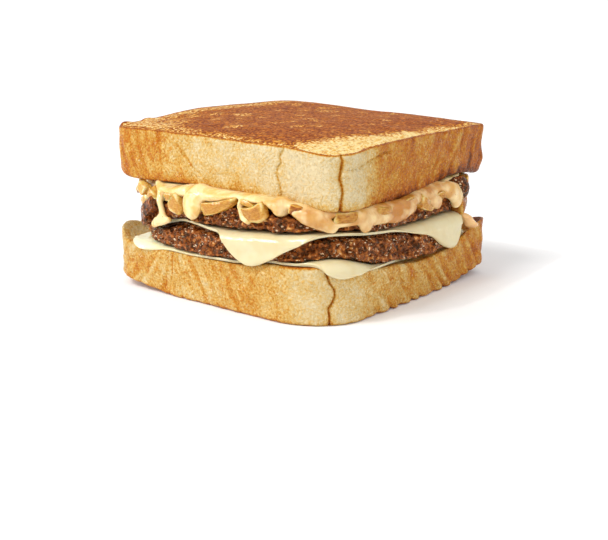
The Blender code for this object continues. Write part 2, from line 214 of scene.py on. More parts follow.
def pebbles(spot: Vector) -> float:
    """Relief of packed grains about 1 across: 1 on top of a grain and 0 in the gaps."""
    near = noise.voronoi(spot)[0]
    return min(1.0, 1.6 * (near[1] - near[0]))


class Level(Enum):
    """Surfaces between the layers, from the bottom up: middle height and rim heights in mm."""

    SLICE_LOWER = (16.5, (18.5, 18.0, 18.2, 21.2, 21.8, 17.2, 15.0, 16.5, 17.5, 18.5, 17.8))
    PATTY_LOWER_BASE = (19.0, (20.4, 19.2, 19.0, 22.2, 24.6, 18.4, 16.2, 18.6, 19.4, 20.6, 19.8))
    PATTY_LOWER = (28.0, (25.6, 30.2, 28.8, 30.6, 32.4, 30.0, 28.2, 27.8, 28.5, 28.5, 27.0))
    PATTY_UPPER_BASE = (30.8, (28.6, 31.2, 30.9, 32.6, 34.0, 31.2, 30.6, 31.4, 31.5, 31.5, 30.5))
    PATTY_UPPER = (38.6, (36.8, 39.0, 41.0, 40.0, 39.0, 38.2, 38.2, 41.6, 40.5, 41.0, 40.5))
    SLICE_UPPER_BASE = (45.6, (44.1, 44.6, 44.2, 43.0, 41.2, 40.9, 41.6, 44.6, 46.5, 47.0, 45.7))
    SLICE_UPPER = (66.2, (64.0, 63.6, 62.8, 61.9, 61.3, 62.8, 63.2, 62.6, 65.0, 67.2, 67.7))


RIM_ANGLES = (-127, -105, -80, -60, -43, -20, 5, 30, 90, 135, 180)

# How far the hem of each cheese slice reaches past the edge that carries it: (compass angle, mm) knots.
CHEESE_LOWER_HEM = (
    (-141, -9.0), (-133, -5.6), (-128.5, -1.6), (-124, 0.6), (-119, 0.3), (-114, -0.9), (-108, -1.1),
    (-101, -0.9), (-92, -1.2), (-84, -1.5), (-73, -1.9), (-62, -1.9), (-50, -1.5), (-46.5, -0.4), (-44, 1.6),
    (-41, 2.9), (-38, 2.6), (-34, 1.2), (-29, -0.2), (-22, -1.4), (-15, -2.0), (-8, -3.2), (0, -4.2),
    (30, -5.0), (45, -8.0), (60, -3.5), (76, -2.0), (90, 1.5), (103, -2.0), (120, -3.5), (135, -8.0),
    (150, -3.5), (200, -3.0),
)
CHEESE_UPPER_HEM = (
    (-124, -6.0), (-112, -4.6), (-106, -3.0), (-101, -2.2), (-96, -1.8), (-90, -1.3), (-86.5, -1.0),
    (-84, -0.2), (-82, 1.4), (-80, 3.3), (-77, 6.0), (-74, 8.0), (-71, 9.2), (-68, 9.3), (-65, 8.4),
    (-61, 6.2), (-57, 3.3), (-52, 0.9), (-47, -0.7), (-40, -1.4), (-31, -1.4), (-21, -1.2), (-14, -0.4),
    (-6, 0.6), (3, 1.8), (9, 4.0), (14, 7.4), (18, 9.4), (21.5, 10.3), (23.8, 9.4), (25.6, 4.0), (28, -1.0),
    (36, -3.5), (60, -3.5), (94, -2.0), (104, 3.0), (112, 5.0), (120, 3.0), (130, -2.0), (150, -3.5),
    (182, -2.0), (192, 2.5), (200, 4.0), (208, 2.5), (216, -2.0), (226, -4.5),
)


@dataclass(frozen=True, eq=False)
class Stack:
    """The form that the layers share: outlines seen from above, and the surfaces between them."""

    slice_half: float = 56.0 * MM
    slice_lower_corners: tuple[float, ...] = (24, 7, 13, 14)
    patty_half: float = 56.6 * MM
    patty_lower_corners: tuple[float, ...] = (28, 35, 38, 38)
    patty_upper_corners: tuple[float, ...] = (28, 32, 34, 33)
    patty_wave: float = 1.2 * MM
    bend: float = 2.0 * MM
    gap: float = 0.36 * MM
    edge_slack: float = 1.5 * MM
    flat_share: float = 0.92
    cheese_curl: float = 1.6
    ears: Bumps = ((-141, 15, 14, 6.5), (44, 21, 20, 8.2), (135, 16, 16, 3.5))

    @lru_cache(maxsize=None)
    def rim_height(self, level: Level, angle: float) -> float:
        """Height of a surface at the rim."""
        return round_rim(tuple(zip(RIM_ANGLES, level.value[1])), angle) * MM

    @lru_cache(maxsize=None)
    def slice_lower(self, angle: float) -> float:
        """Outline of the lower slice."""
        return square_radius(angle, self.slice_half, self.slice_lower_corners)

    @lru_cache(maxsize=None)
    def patty_lower(self, angle: float) -> float:
        """Outline of the lower patty."""
        return square_radius(angle, self.patty_half, self.patty_lower_corners) + waves(
            angle, SEED, self.patty_wave)

    @lru_cache(maxsize=None)
    def patty_upper(self, angle: float) -> float:
        """Outline of the upper patty."""
        return square_radius(angle, self.patty_half, self.patty_upper_corners) + waves(
            angle, SEED + 1, self.patty_wave)

    @lru_cache(maxsize=None)
    def cheese_middle_edge(self, angle: float) -> float:
        """Edge that the middle cheese hangs over: the lower patty's, or the bread's where just outside."""
        patty = self.patty_lower(angle)
        return patty + min(max(self.slice_lower(angle) - patty, 0.0), self.edge_slack)

    def height(self, level: Level, x: float, y: float, power: float = 1.0) -> float:
        """Height of a surface over a point of the table, a flat cone unless a power rounds it.

        Args:
            level: The surface.
            x: Place to the right of the axis.
            y: Place behind the axis.
            power: 1 for a cone, and more for a flatter middle.

        Returns:
            The height in metres.
        """
        angle = round(math.degrees(math.atan2(y, x)), 2)
        share = math.hypot(x, y) / self.slice_lower(angle)
        middle = level.value[0] * MM
        return middle + (self.rim_height(level, angle) - middle) * share ** power

    def bread_height(self, x: float, y: float, curl: float = 1.0) -> float:
        """Upper surface of the lower slice, with its corners curled up outside the patty.

        Args:
            x: Place to the right of the axis.
            y: Place behind the axis.
            curl: How strongly the corners curl up; 1 is the bread itself.

        Returns:
            The height in metres.
        """
        angle = round(math.degrees(math.atan2(y, x)), 2)
        beyond = (math.hypot(x, y) / self.slice_lower(angle) - self.flat_share) / (1.0 - self.flat_share)
        return self.height(Level.SLICE_LOWER, x, y) + curl * bumps(angle, self.ears) * max(beyond, 0.0)

    def cheese_bed(self, x: float, y: float) -> float:
        """Surface that the lower cheese lies on, curled up more than the bread itself."""
        return self.bread_height(x, y, self.cheese_curl)

    def wall(self, angle: float, z: float) -> float:
        """Distance from the axis to the side of the patties at a height.

        Args:
            angle: Compass angle.
            z: Height above the table.

        Returns:
            The distance in metres.
        """
        base = self.rim_height(Level.PATTY_UPPER_BASE, round(angle, 2))
        share = smoothstep(base - 2.0 * MM, base + 0.5 * MM, z)
        lower = self.patty_lower(round(angle, 2))
        return lower + (self.patty_upper(round(angle, 2)) - lower) * share

    def beside(self, angle: float, z: float) -> tuple[Vector, Vector, Vector]:
        """Point on the side of the patties, with the level directions outwards and along the side there.

        Args:
            angle: Compass angle.
            z: Height above the table.

        Returns:
            The point, the direction outwards and the direction along the side.
        """
        after = compass(angle + 0.5) * self.wall(angle + 0.5, z)
        before = compass(angle - 0.5) * self.wall(angle - 0.5, z)
        sideways = (after - before).normalized()
        spot = compass(angle) * self.wall(angle, z)
        return Vector((spot.x, spot.y, z)), Vector((sideways.y, -sideways.x, 0.0)), sideways

    def drape(self, angle: float, run: float, lift: float, edge: float, surface: Callable) -> Vector:
        """Point of a soft sheet that lies on a layer and hangs over the layer's edge.

        Args:
            angle: Compass angle of the point.
            run: Way from the axis measured along the sheet.
            lift: Height above the layer, or distance outside it where the sheet hangs.
            edge: Distance from the axis to the layer's edge.
            surface: Height of the layer over a point of the table.

        Returns:
            The point in the frame.
        """
        start = edge - self.bend
        way = compass(angle)
        if run <= start:
            flat = way * run
            return flat + Vector((0.0, 0.0, surface(flat.x, flat.y) + lift))
        turned = min((run - start) / self.bend, math.pi / 2.0)
        fall = max(run - start - self.bend * math.pi / 2.0, 0.0)
        reach = start + (self.bend + lift) * math.sin(turned)
        knee = way * start
        height = surface(knee.x, knee.y) - self.bend + (self.bend + lift) * math.cos(turned)
        return way * reach + Vector((0.0, 0.0, height - fall))


class Bench:
    """The modelling steps that the pieces share."""

    @staticmethod
    def clear_selection() -> None:
        """Leave nothing selected."""
        bpy.ops.object.select_all(action="DESELECT")

    @staticmethod
    def select(pieces: Sequence[bpy.types.Object]) -> None:
        """Select some pieces alone, with the first of them active.

        Args:
            pieces: The pieces.
        """
        Bench.clear_selection()
        for piece in pieces:
            piece.select_set(True)
        bpy.context.view_layer.objects.active = pieces[0]

    @staticmethod
    def block(cuts: int) -> bpy.types.Object:
        """Start a piece from a finely cut cube that reaches from -1 to 1.

        Args:
            cuts: Number of cuts of each edge.

        Returns:
            The piece.
        """
        Bench.clear_selection()
        bpy.ops.mesh.primitive_cube_add(size=2.0, location=(0.0, 0.0, 0.0))
        piece = bpy.context.object
        bpy.ops.object.mode_set(mode="EDIT")
        bpy.ops.mesh.select_all(action="SELECT")
        bpy.ops.mesh.subdivide(number_cuts=cuts)
        bpy.ops.object.mode_set(mode="OBJECT")
        return piece

    @staticmethod
    def note(piece: bpy.types.Object, name: str, values: Sequence[float]) -> None:
        """Write a value for each vertex into a named attribute."""
        attribute = piece.data.attributes.get(name) or piece.data.attributes.new(name, "FLOAT", "POINT")
        attribute.data.foreach_set("value", values)

    @staticmethod
    def spin(name: str, profile: Sequence[tuple[float, float]], columns: int) -> bpy.types.Object:
        """Turn a half profile round the upright axis.

        Args:
            name: Name of the new piece.
            profile: Points (share of the radius, height) from the axis round to the axis again.
            columns: Number of steps of the turn.

        Returns:
            The closed piece, still in units of share and height.
        """
        Bench.clear_selection()
        bpy.ops.mesh.primitive_plane_add(size=0.1, location=(0.0, 0.0, 0.0))
        piece = bpy.context.object
        piece.name = name
        piece.data.name = name
        bpy.ops.object.mode_set(mode="EDIT")
        bpy.ops.mesh.select_all(action="SELECT")
        bpy.ops.mesh.merge(type="CENTER")
        bpy.ops.transform.translate(value=(profile[0][0], 0.0, profile[0][1]))
        for (share, height), (next_share, next_height) in zip(profile, profile[1:]):
            step = (next_share - share, 0.0, next_height - height)
            bpy.ops.mesh.extrude_region_move(TRANSFORM_OT_translate={"value": step})
        bpy.ops.mesh.select_all(action="SELECT")
        bpy.ops.mesh.spin(steps=columns, angle=2.0 * math.pi, center=(0.0, 0.0, 0.0), axis=(0.0, 0.0, 1.0))
        bpy.ops.mesh.select_all(action="SELECT")
        bpy.ops.mesh.remove_doubles(threshold=1e-5)
        bpy.ops.object.mode_set(mode="OBJECT")
        return piece

    @staticmethod
    def place(piece: bpy.types.Object, place: Place, tints: Tint) -> None:
        """Move each vertex of a turned piece to its place, and note its tint.

        Args:
            piece: A piece from spin.
            place: Gives a vertex's place from its turn in degrees, its share of the radius and its height.
            tints: Gives its tint from the same and its place.
        """
        points = []
        values = []
        for vertex in piece.data.vertices:
            turn = math.degrees(math.atan2(vertex.co.y, vertex.co.x))
            share = vertex.co.xy.length
            height = vertex.co.z
            spot = place(turn, share, height)
            points.extend(spot)
            values.append(tints(turn, share, height, spot))
        piece.data.vertices.foreach_set("co", points)
        Bench.note(piece, "tint", values)
        Bench.face_outwards(piece)

    @staticmethod
    def face_outwards(piece: bpy.types.Object) -> None:
        """Turn all faces outwards and shade them smooth.

        Args:
            piece: The piece.
        """
        Bench.select([piece])
        bpy.ops.object.mode_set(mode="EDIT")
        bpy.ops.mesh.select_all(action="SELECT")
        bpy.ops.mesh.normals_make_consistent(inside=False)
        bpy.ops.object.mode_set(mode="OBJECT")
        bpy.ops.object.shade_smooth()

    @staticmethod
    def even_angle(turn: float) -> float:
        """Compass angle of a turn, so that equal turns are equal steps along the sides of a square."""
        side = round(turn / 90.0) * 90.0
        return round(side + math.degrees(math.atan((turn - side) / 45.0)), 2)

    @staticmethod
    def apply(piece: bpy.types.Object, kind: str, **settings: object) -> None:
        """Give a piece a modifier and apply it.

        Args:
            piece: The piece.
            kind: The modifier's kind.
            settings: Its settings.
        """
        Bench.select([piece])
        modifier = piece.modifiers.new(kind.lower(), kind)
        for key, value in settings.items():
            setattr(modifier, key, value)
        bpy.ops.object.modifier_apply(modifier=modifier.name)

    @staticmethod
    def join(pieces: Sequence[bpy.types.Object], name: str) -> bpy.types.Object:
        """Join pieces into the first of them.

        Args:
            pieces: The pieces, each with its place in its mesh.
            name: Name of the joined piece.

        Returns:
            The joined piece.
        """
        Bench.select(pieces)
        bpy.ops.object.join()
        pieces[0].name = name
        pieces[0].data.name = name
        return pieces[0]

    @staticmethod
    def settle(piece: bpy.types.Object, node: str, slot: str, material: bpy.types.Material) -> None:
        """Finish a piece, let it stand for its solid, and report it.

        Args:
            piece: The piece.
            node: Name of the solid.
            slot: Material slot of the record; not used.
            material: Its finish.
        """
        piece.data.materials.clear()
        piece.data.materials.append(material)
        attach(piece, "root")
        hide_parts(node)
        LOG.info("%s: %d vertices for %s", piece.name, len(piece.data.vertices), node)


def ladder(first: float, last: float, count: int) -> list[float]:
    """Evenly spaced numbers from first to last, both included."""
    return [first + (last - first) * index / (count - 1) for index in range(count)]


def linear(red: int, green: int, blue: int) -> tuple[float, float, float, float]:
    """Shader colour of a colour as a screen shows it, 0 to 255."""
    parts = [value / 255.0 for value in (red, green, blue)]
    return (*[part / 12.92 if part <= 0.04045 else ((part + 0.055) / 1.055) ** 2.4 for part in parts], 1.0)


class Recipe:
    """A material while its nodes are laid out."""

    def __init__(self, name: str) -> None:
        """Start a material with a Principled shader.

        Args:
            name: Name of the material.
        """
        self.material = bpy.data.materials.new(name)
        self.material.use_nodes = True
        self.tree = self.material.node_tree
        self.shader = self.tree.nodes["Principled BSDF"]
        self.space = self.tree.nodes.new("ShaderNodeTexCoord").outputs["Object"]

    def node(self, kind: str, inputs: dict[object, object], **settings: object) -> bpy.types.Node:
        """Add a node, set its options, and set or link its inputs.

        Args:
            kind: The node's kind.
            inputs: A number, colour or output for each input.
            settings: The node's options.

        Returns:
            The node.
        """
        made = self.tree.nodes.new(kind)
        for key, value in settings.items():
            setattr(made, key, value)
        for key, value in inputs.items():
            if isinstance(value, bpy.types.NodeSocket):
                self.tree.links.new(value, made.inputs[key])
            else:
                made.inputs[key].default_value = value
        return made

    def tint(self) -> bpy.types.NodeSocket:
        """The tint that the piece's mesh carries."""
        return self.node("ShaderNodeAttribute", {}, attribute_name="tint").outputs["Fac"]

    def noise(self, size: float, detail: float = 2.0, stretch: tuple[float, ...] = (1, 1, 1),
              roughness: float = 0.5) -> bpy.types.NodeSocket:
        """Noise with features of a size in metres, stretched along the axes.

        Args:
            size: Size of the features.
            detail: Number of finer layers.
            stretch: Share of the size along each axis.
            roughness: How strong the finer layers are.

        Returns:
            The noise, about 0.5 on the whole.
        """
        scale = tuple(1.0 / (size * part) for part in stretch)
        mapped = self.node("ShaderNodeMapping", {"Vector": self.space, "Scale": scale}).outputs["Vector"]
        inputs = {"Vector": mapped, "Scale": 1.0, "Detail": detail, "Roughness": roughness}
        return self.node("ShaderNodeTexNoise", inputs).outputs["Fac"]

    def cells(self, size: float) -> bpy.types.NodeSocket:
        """Distance to the middle of the nearest of some cells of a size in metres, in cell sizes."""
        node = self.node("ShaderNodeTexVoronoi", {"Vector": self.space, "Scale": 1.0 / size})
        return node.outputs["Distance"]

    def math(self, operation: str, *values: object) -> bpy.types.NodeSocket:
        """Result of a sum on sockets or numbers."""
        return self.node("ShaderNodeMath", dict(enumerate(values)), operation=operation).outputs[0]

    def spread(self, value: object, low: float, high: float, to_low: float = 0.0,
               to_high: float = 1.0) -> bpy.types.NodeSocket:
        """A value spread from one range to another, and kept in it."""
        inputs = {"Value": value, "From Min": low, "From Max": high, "To Min": to_low, "To Max": to_high}
        return self.node("ShaderNodeMapRange", inputs, interpolation_type="SMOOTHSTEP").outputs[0]

    def ramp(self, value: bpy.types.NodeSocket, stops: Stops) -> bpy.types.NodeSocket:
        """Colour at a value between colour stops.

        Args:
            value: The value, from 0 to 1.
            stops: (value, colour) pairs.

        Returns:
            The colour.
        """
        node = self.node("ShaderNodeValToRGB", {"Fac": value})
        elements = node.color_ramp.elements
        while len(elements) < len(stops):
            elements.new(0.5)
        for element, (position, colour) in zip(elements, stops):
            element.position = position
            element.color = linear(*colour)
        return node.outputs["Color"]

    def blend(self, share: object, first: object, second: object) -> bpy.types.NodeSocket:
        """Mix of two colours."""
        return self.node("ShaderNodeMix", {0: share, 6: first, 7: second}, data_type="RGBA").outputs[2]

    def bump(self, height: bpy.types.NodeSocket, depth: float, strength: float = 1.0,
             under: object = None) -> bpy.types.NodeSocket:
        """Fine relief of a depth in metres.

        Args:
            height: Height of the relief, from 0 to 1.
            depth: Its depth.
            strength: Share of it that shows.
            under: Relief that it lies on.

        Returns:
            The direction of the surface.
        """
        inputs = {"Height": height, "Distance": depth, "Strength": strength}
        if under is not None:
            inputs["Normal"] = under
        return self.node("ShaderNodeBump", inputs).outputs["Normal"]

    def finish(self, **inputs: object) -> bpy.types.Material:
        """Set or link the shader's inputs, named with underscores for spaces, and give the material.

        Args:
            inputs: A number, colour or output for each input.

        Returns:
            The material.
        """
        for key, value in inputs.items():
            socket = self.shader.inputs[key.replace("_", " ")]
            if isinstance(value, bpy.types.NodeSocket):
                self.tree.links.new(value, socket)
            else:
                socket.default_value = value
        return self.material


@dataclass(frozen=True)
class CrustFinish:
    """The side of a slice: cream where it was kept from the heat, through gold to red brown, with small
    painted glints.
    """

    stops: Stops = (
        (0.0, (236, 216, 172)), (0.15, (233, 206, 150)), (0.35, (228, 186, 104)), (0.5, (215, 155, 60)),
        (0.65, (204, 124, 26)), (0.8, (184, 94, 14)), (0.92, (150, 68, 14)), (1.0, (98, 42, 12)),
    )
    grain: float = 0.9 * MM
    speck: float = 0.9 * MM
    pore: float = 1.5 * MM
    cloud: float = 7.0 * MM
    cluster: float = 4.0 * MM
    # Size of the painted glints: pale specks that stand for light glinting on the buttered crust.
    painted_glint: float = 0.7 * MM
    pore_patch: float = 4.5 * MM
    gloss_patch: float = 2.4 * MM
    grain_depth: float = 0.4 * MM
    dimple_depth: float = 1.4 * MM
    pore_depth: float = 0.4 * MM
    roughness: tuple[float, float] = (0.22, 0.6)
    speck_colour: Colour = (184, 100, 22)
    # Colour of the painted glints.
    painted_glint_colour: Colour = (255, 238, 196)
    pore_colour: Colour = (140, 84, 34)
    shine: Colour = (255, 214, 150)

    def material(self) -> bpy.types.Material:
        """Make the material.

        Returns:
            The material.
        """
        recipe = Recipe("bread_crust")
        tint = recipe.tint()
        grain = recipe.spread(recipe.noise(self.grain, 3.0, roughness=0.7), 0.32, 0.68)
        cloud = recipe.noise(self.cloud, 4.0, roughness=0.55)
        mottle = recipe.math("MULTIPLY_ADD", cloud, 0.6, -0.3)
        fine = recipe.math("MULTIPLY_ADD", grain, 0.28, -0.14)
        toast = recipe.math("ADD", recipe.math("ADD", tint, fine), mottle)
        colour = recipe.ramp(toast, self.stops)
        specks = recipe.spread(recipe.noise(self.speck, 1.0), 0.6, 0.68)
        browned = recipe.spread(recipe.math("ADD", tint, mottle), 0.1, 0.6, 0.12, 0.55)
        colour = recipe.blend(recipe.math("MULTIPLY", specks, browned), colour, linear(*self.speck_colour))
        # Painted highlights: pale specks in clusters, fewer where the crust is browner, stand for glints of
        # butter.
        glint_clusters = recipe.spread(recipe.noise(self.cluster), 0.4, 0.62, 0.05, 0.6)
        glint_clusters = recipe.math("MULTIPLY", glint_clusters, recipe.spread(tint, 0.45, 0.75, 1.0, 0.3))
        painted_glint = recipe.spread(recipe.noise(self.painted_glint, 1.0), 0.62, 0.72)
        colour = recipe.blend(recipe.math("MULTIPLY", painted_glint, glint_clusters), colour, linear(*self.painted_glint_colour))
        pits = recipe.spread(recipe.cells(self.pore), 0.0, 0.2, 1.0, 0.0)
        some = recipe.spread(recipe.noise(self.pore_patch, 1.0), 0.5, 0.6)
        pitted = recipe.math("MULTIPLY", pits, some)
        colour = recipe.blend(recipe.math("MULTIPLY", pitted, 0.5), colour, linear(*self.pore_colour))
        gloss = recipe.spread(recipe.noise(self.gloss_patch, 3.0), 0.38, 0.62, *self.roughness)
        relief = recipe.bump(grain, self.grain_depth)
        relief = recipe.bump(recipe.noise(self.gloss_patch, 3.0), self.dimple_depth, 0.5, relief)
        relief = recipe.bump(pitted, -self.pore_depth, 0.6, relief)
        return recipe.finish(Base_Color=colour, Roughness=gloss, Normal=relief, Specular_IOR_Level=0.42,
                             Specular_Tint=linear(*self.shine))


@dataclass(frozen=True)
class GriddleFinish:
    """The griddled face of a slice, speckled where brown and pale meet."""

    stops: Stops = (
        (0.0, (238, 214, 154)), (0.18, (230, 192, 110)), (0.34, (218, 158, 58)), (0.5, (202, 124, 32)),
        (0.66, (184, 102, 26)), (0.84, (162, 84, 28)), (1.0, (126, 58, 18)),
    )
    speckle: float = 1.1 * MM
    patch: float = 4.0 * MM
    fleck: float = 1.7 * MM
    web: float = 1.5 * MM
    speckle_depth: float = 0.4 * MM
    patch_depth: float = 1.2 * MM
    fleck_colour: Colour = (214, 150, 70)
    web_colour: Colour = (178, 104, 34)
    shine: Colour = (255, 214, 150)

    def material(self) -> bpy.types.Material:
        """Make the material.

        Returns:
            The material.
        """
        recipe = Recipe("bread_griddled")
        tint = recipe.tint()
        fine = recipe.spread(recipe.noise(self.speckle, 2.0, roughness=0.6), 0.34, 0.66)
        broad = recipe.noise(self.patch, 4.0, roughness=0.6)
        middle = recipe.math("MULTIPLY", recipe.math("SUBTRACT", 1.0, tint), tint)
        swing = recipe.math("MULTIPLY_ADD", middle, 3.2, 0.28)
        grain = recipe.math("MULTIPLY", recipe.math("SUBTRACT", fine, 0.5), swing)
        patch = recipe.math("MULTIPLY_ADD", broad, 0.8, -0.4)
        toast = recipe.math("ADD", recipe.math("ADD", tint, grain), patch)
        colour = recipe.ramp(toast, self.stops)
        flecks = recipe.spread(recipe.noise(self.fleck, 1.0), 0.6, 0.72, 0.0, 0.7)
        colour = recipe.blend(flecks, colour, linear(*self.fleck_colour))
        webs = recipe.spread(recipe.noise(self.web, 3.0, roughness=0.7), 0.57, 0.64, 0.0, 0.8)
        pale = recipe.spread(tint, 0.02, 0.5, 1.0, 0.0)
        colour = recipe.blend(recipe.math("MULTIPLY", webs, pale), colour, linear(*self.web_colour))
        relief = recipe.bump(fine, self.speckle_depth, 0.6)
        relief = recipe.bump(broad, self.patch_depth, 0.35, relief)
        return recipe.finish(Base_Color=colour, Roughness=0.6, Normal=relief, Specular_IOR_Level=0.08,
                             Specular_Tint=linear(*self.shine))


@dataclass(frozen=True)
class BeefFinish:
    """Fried minced beef: dark brown, glossy in wet patches, with many small wet highlights painted in as pale
    specks.
    """

    name: str
    stops: Stops = (
        (0.0, (34, 12, 2)), (0.22, (82, 34, 8)), (0.45, (136, 66, 20)), (0.7, (182, 104, 44)),
        (0.88, (216, 148, 76)), (1.0, (240, 196, 132)),
    )
    grain: float = 1.9 * MM
    fibre: float = 1.5 * MM
    patch: float = 5.0 * MM
    wet_patch: float = 8.0 * MM
    bead: float = 1.3 * MM
    grain_depth: float = 0.9 * MM
    fibre_depth: float = 0.6 * MM
    # Colour of the painted wet glints.
    painted_wet_glint: Colour = (255, 226, 186)
    shine: Colour = (255, 206, 150)

    def material(self) -> bpy.types.Material:
        """Make the material.

        Returns:
            The material.
        """
        recipe = Recipe(self.name)
        fine = recipe.spread(recipe.noise(self.fibre, 3.0, roughness=0.55), 0.32, 0.68)
        broad = recipe.noise(self.patch, 3.0)
        grains = recipe.cells(self.grain)
        # Painted shade and highlight: darker in the sunken gaps between the grains and lighter on the raised
        # ones, over the meat's own mottling.
        shade = recipe.math("MULTIPLY_ADD", recipe.tint(), 0.8, 0.33)
        shade = recipe.math("ADD", shade, recipe.math("MULTIPLY_ADD", fine, 0.5, -0.22))
        shade = recipe.math("SUBTRACT", shade, recipe.math("MULTIPLY", grains, 0.42))
        shade = recipe.math("ADD", shade, recipe.math("MULTIPLY_ADD", broad, 0.7, -0.35))
        colour = recipe.ramp(shade, self.stops)
        wet = recipe.spread(recipe.noise(self.wet_patch, 1.0), 0.44, 0.62)
        # Painted highlights: small pale specks, mostly in the wet patches, stand for wet glints on the meat.
        beads = recipe.spread(recipe.noise(self.bead, 1.5, (1.0, 1.0, 0.6)), 0.61, 0.67)
        beads = recipe.math("MULTIPLY", beads, recipe.math("MULTIPLY_ADD", wet, 0.9, 0.1))
        colour = recipe.blend(beads, colour, linear(*self.painted_wet_glint))
        gloss = recipe.spread(wet, 0.0, 1.0, 0.3, 0.08)
        relief = recipe.bump(grains, -self.grain_depth)
        relief = recipe.bump(fine, self.fibre_depth, 1.0, relief)
        return recipe.finish(Base_Color=colour, Roughness=gloss, Normal=relief, Specular_IOR_Level=0.6,
                             Specular_Tint=linear(*self.shine))


@dataclass(frozen=True)
class CheeseFinish:
    """Melted pale cheese, smooth with a soft shine."""

    name: str
    base: Colour = (221, 208, 166)
    shade: Colour = (214, 192, 140)
    # Colour the left end is painted towards: painted light on a part that lies in shade.
    pale: Colour = (255, 250, 204)
    cloud: float = 9.0 * MM
    dimple: float = 4.0 * MM
    dimple_depth: float = 0.9 * MM
    scatter: float = 1.5 * MM

    def material(self) -> bpy.types.Material:
        """Make the material.

        Returns:
            The material.
        """
        recipe = Recipe(self.name)
        cloud = recipe.noise(self.cloud)
        shaded = recipe.spread(cloud, 0.4, 0.7, 0.0, 0.6)
        colour = recipe.blend(shaded, linear(*self.base), linear(*self.shade))
        # Paler where the tint is high: painted light on the left end.
        colour = recipe.blend(recipe.tint(), colour, linear(*self.pale))
        relief = recipe.bump(recipe.noise(self.dimple), self.dimple_depth, 0.4)
        return recipe.finish(
            Base_Color=colour, Roughness=0.18, Normal=relief, Specular_IOR_Level=0.5, Subsurface_Weight=0.35,
            Subsurface_Radius=(1.0, 0.75, 0.4), Subsurface_Scale=self.scatter)


@dataclass(frozen=True)
class SauceFinish:
    """Creamy peach-coloured sauce, glossy, with a few fine specks of spice."""

    name: str
    base: Colour = (246, 220, 162)
    deep: Colour = (234, 190, 108)
    # Brown of the meat's juice, which also paints shade on the right-hand side.
    stain_and_shade_colour: Colour = (194, 128, 50)
    spice: Colour = (176, 96, 40)
    cloud: float = 5.0 * MM
    spice_spacing: float = 2.4 * MM
    spice_patch: float = 3.0 * MM
    dimple: float = 2.2 * MM
    dimple_depth: float = 0.9 * MM
    scatter: float = 1.2 * MM

    def material(self) -> bpy.types.Material:
        """Make the material.

        Returns:
            The material.
        """
        recipe = Recipe(self.name)
        cloud = recipe.noise(self.cloud)
        colour = recipe.blend(recipe.spread(cloud, 0.42, 0.68), linear(*self.base), linear(*self.deep))
        # Browner where the tint is high: the meat's juice, and painted shade.
        stain_and_shade = recipe.math("MULTIPLY", recipe.tint(), recipe.spread(cloud, 0.25, 0.6, 0.35, 1.0))
        colour = recipe.blend(stain_and_shade, colour, linear(*self.stain_and_shade_colour))
        dots = recipe.spread(recipe.cells(self.spice_spacing), 0.0, 0.13, 1.0, 0.0)
        some = recipe.spread(recipe.noise(self.spice_patch, 1.0), 0.56, 0.6)
        colour = recipe.blend(recipe.math("MULTIPLY", dots, some), colour, linear(*self.spice))
        relief = recipe.bump(recipe.noise(self.dimple), self.dimple_depth, 0.8)
        return recipe.finish(
            Base_Color=colour, Roughness=0.12, Normal=relief, Specular_IOR_Level=0.5, Subsurface_Weight=0.25,
            Subsurface_Radius=(1.0, 0.6, 0.3), Subsurface_Scale=self.scatter)


@dataclass(frozen=True)
class OnionFinish:
    """Soft fried onion: amber, glossy, a little translucent, with pale edges."""

    stops: Stops = (
        (0.0, (100, 44, 12)), (0.15, (162, 92, 26)), (0.32, (205, 141, 48)), (0.5, (222, 171, 78)),
        (0.75, (242, 210, 128)), (1.0, (255, 240, 196)),
    )
    strand: float = 1.1 * MM
    dimple: float = 1.6 * MM
    dimple_depth: float = 0.7 * MM
    scatter: float = 1.6 * MM

    def material(self) -> bpy.types.Material:
        """Make the material.

        Returns:
            The material.
        """
        recipe = Recipe("onion_fried")
        strands = recipe.noise(self.strand, stretch=(1.0, 1.0, 0.5))
        shade = recipe.math("ADD", recipe.tint(), recipe.math("MULTIPLY_ADD", strands, 0.6, -0.36))
        colour = recipe.ramp(shade, self.stops)
        relief = recipe.bump(recipe.noise(self.dimple, 1.0), self.dimple_depth, 0.5)
        return recipe.finish(
            Base_Color=colour, Roughness=0.1, Normal=relief, Specular_IOR_Level=0.7, IOR=1.36,
            Transmission_Weight=0.2, Subsurface_Weight=0.5, Subsurface_Radius=(1.0, 0.5, 0.12),
            Subsurface_Scale=self.scatter)


@dataclass(frozen=True)
class Crease:
    """A split line down the side of a slice.

    Attributes:
        knots: (height from -1 to 1, compass angle) pairs from the bottom up.
        width: Width of the split.
        depth: Depth of the split.
        shoulder: Width of the soft hollow round it.
        tone: How much darker the split is; a negative tone makes a ridge paler, as a painted highlight.
    """

    knots: Knots
    width: float = 0.5 * MM
    depth: float = 1.3 * MM
    shoulder: float = 3.0 * MM
    tone: float = 0.75

    def strength(self, angle: float, height: float, radius: float) -> tuple[float, float]:
        """How deep in the split, and in its soft shoulders, a point of the side is, from 0 to 1.

        Args:
            angle: Compass angle.
            height: Height in the section, from -1 at the bottom to 1 at the top.
            radius: Distance from the axis to the side there.

        Returns:
            The share of the split and the share of its shoulders.
        """
        if not self.knots[0][0] <= height <= self.knots[-1][0]:
            return 0.0, 0.0
        away = math.radians(angle_between(angle, along(self.knots, height))) * radius
        return math.exp(-(away / self.width) ** 2), math.exp(-(away / self.shoulder) ** 2)


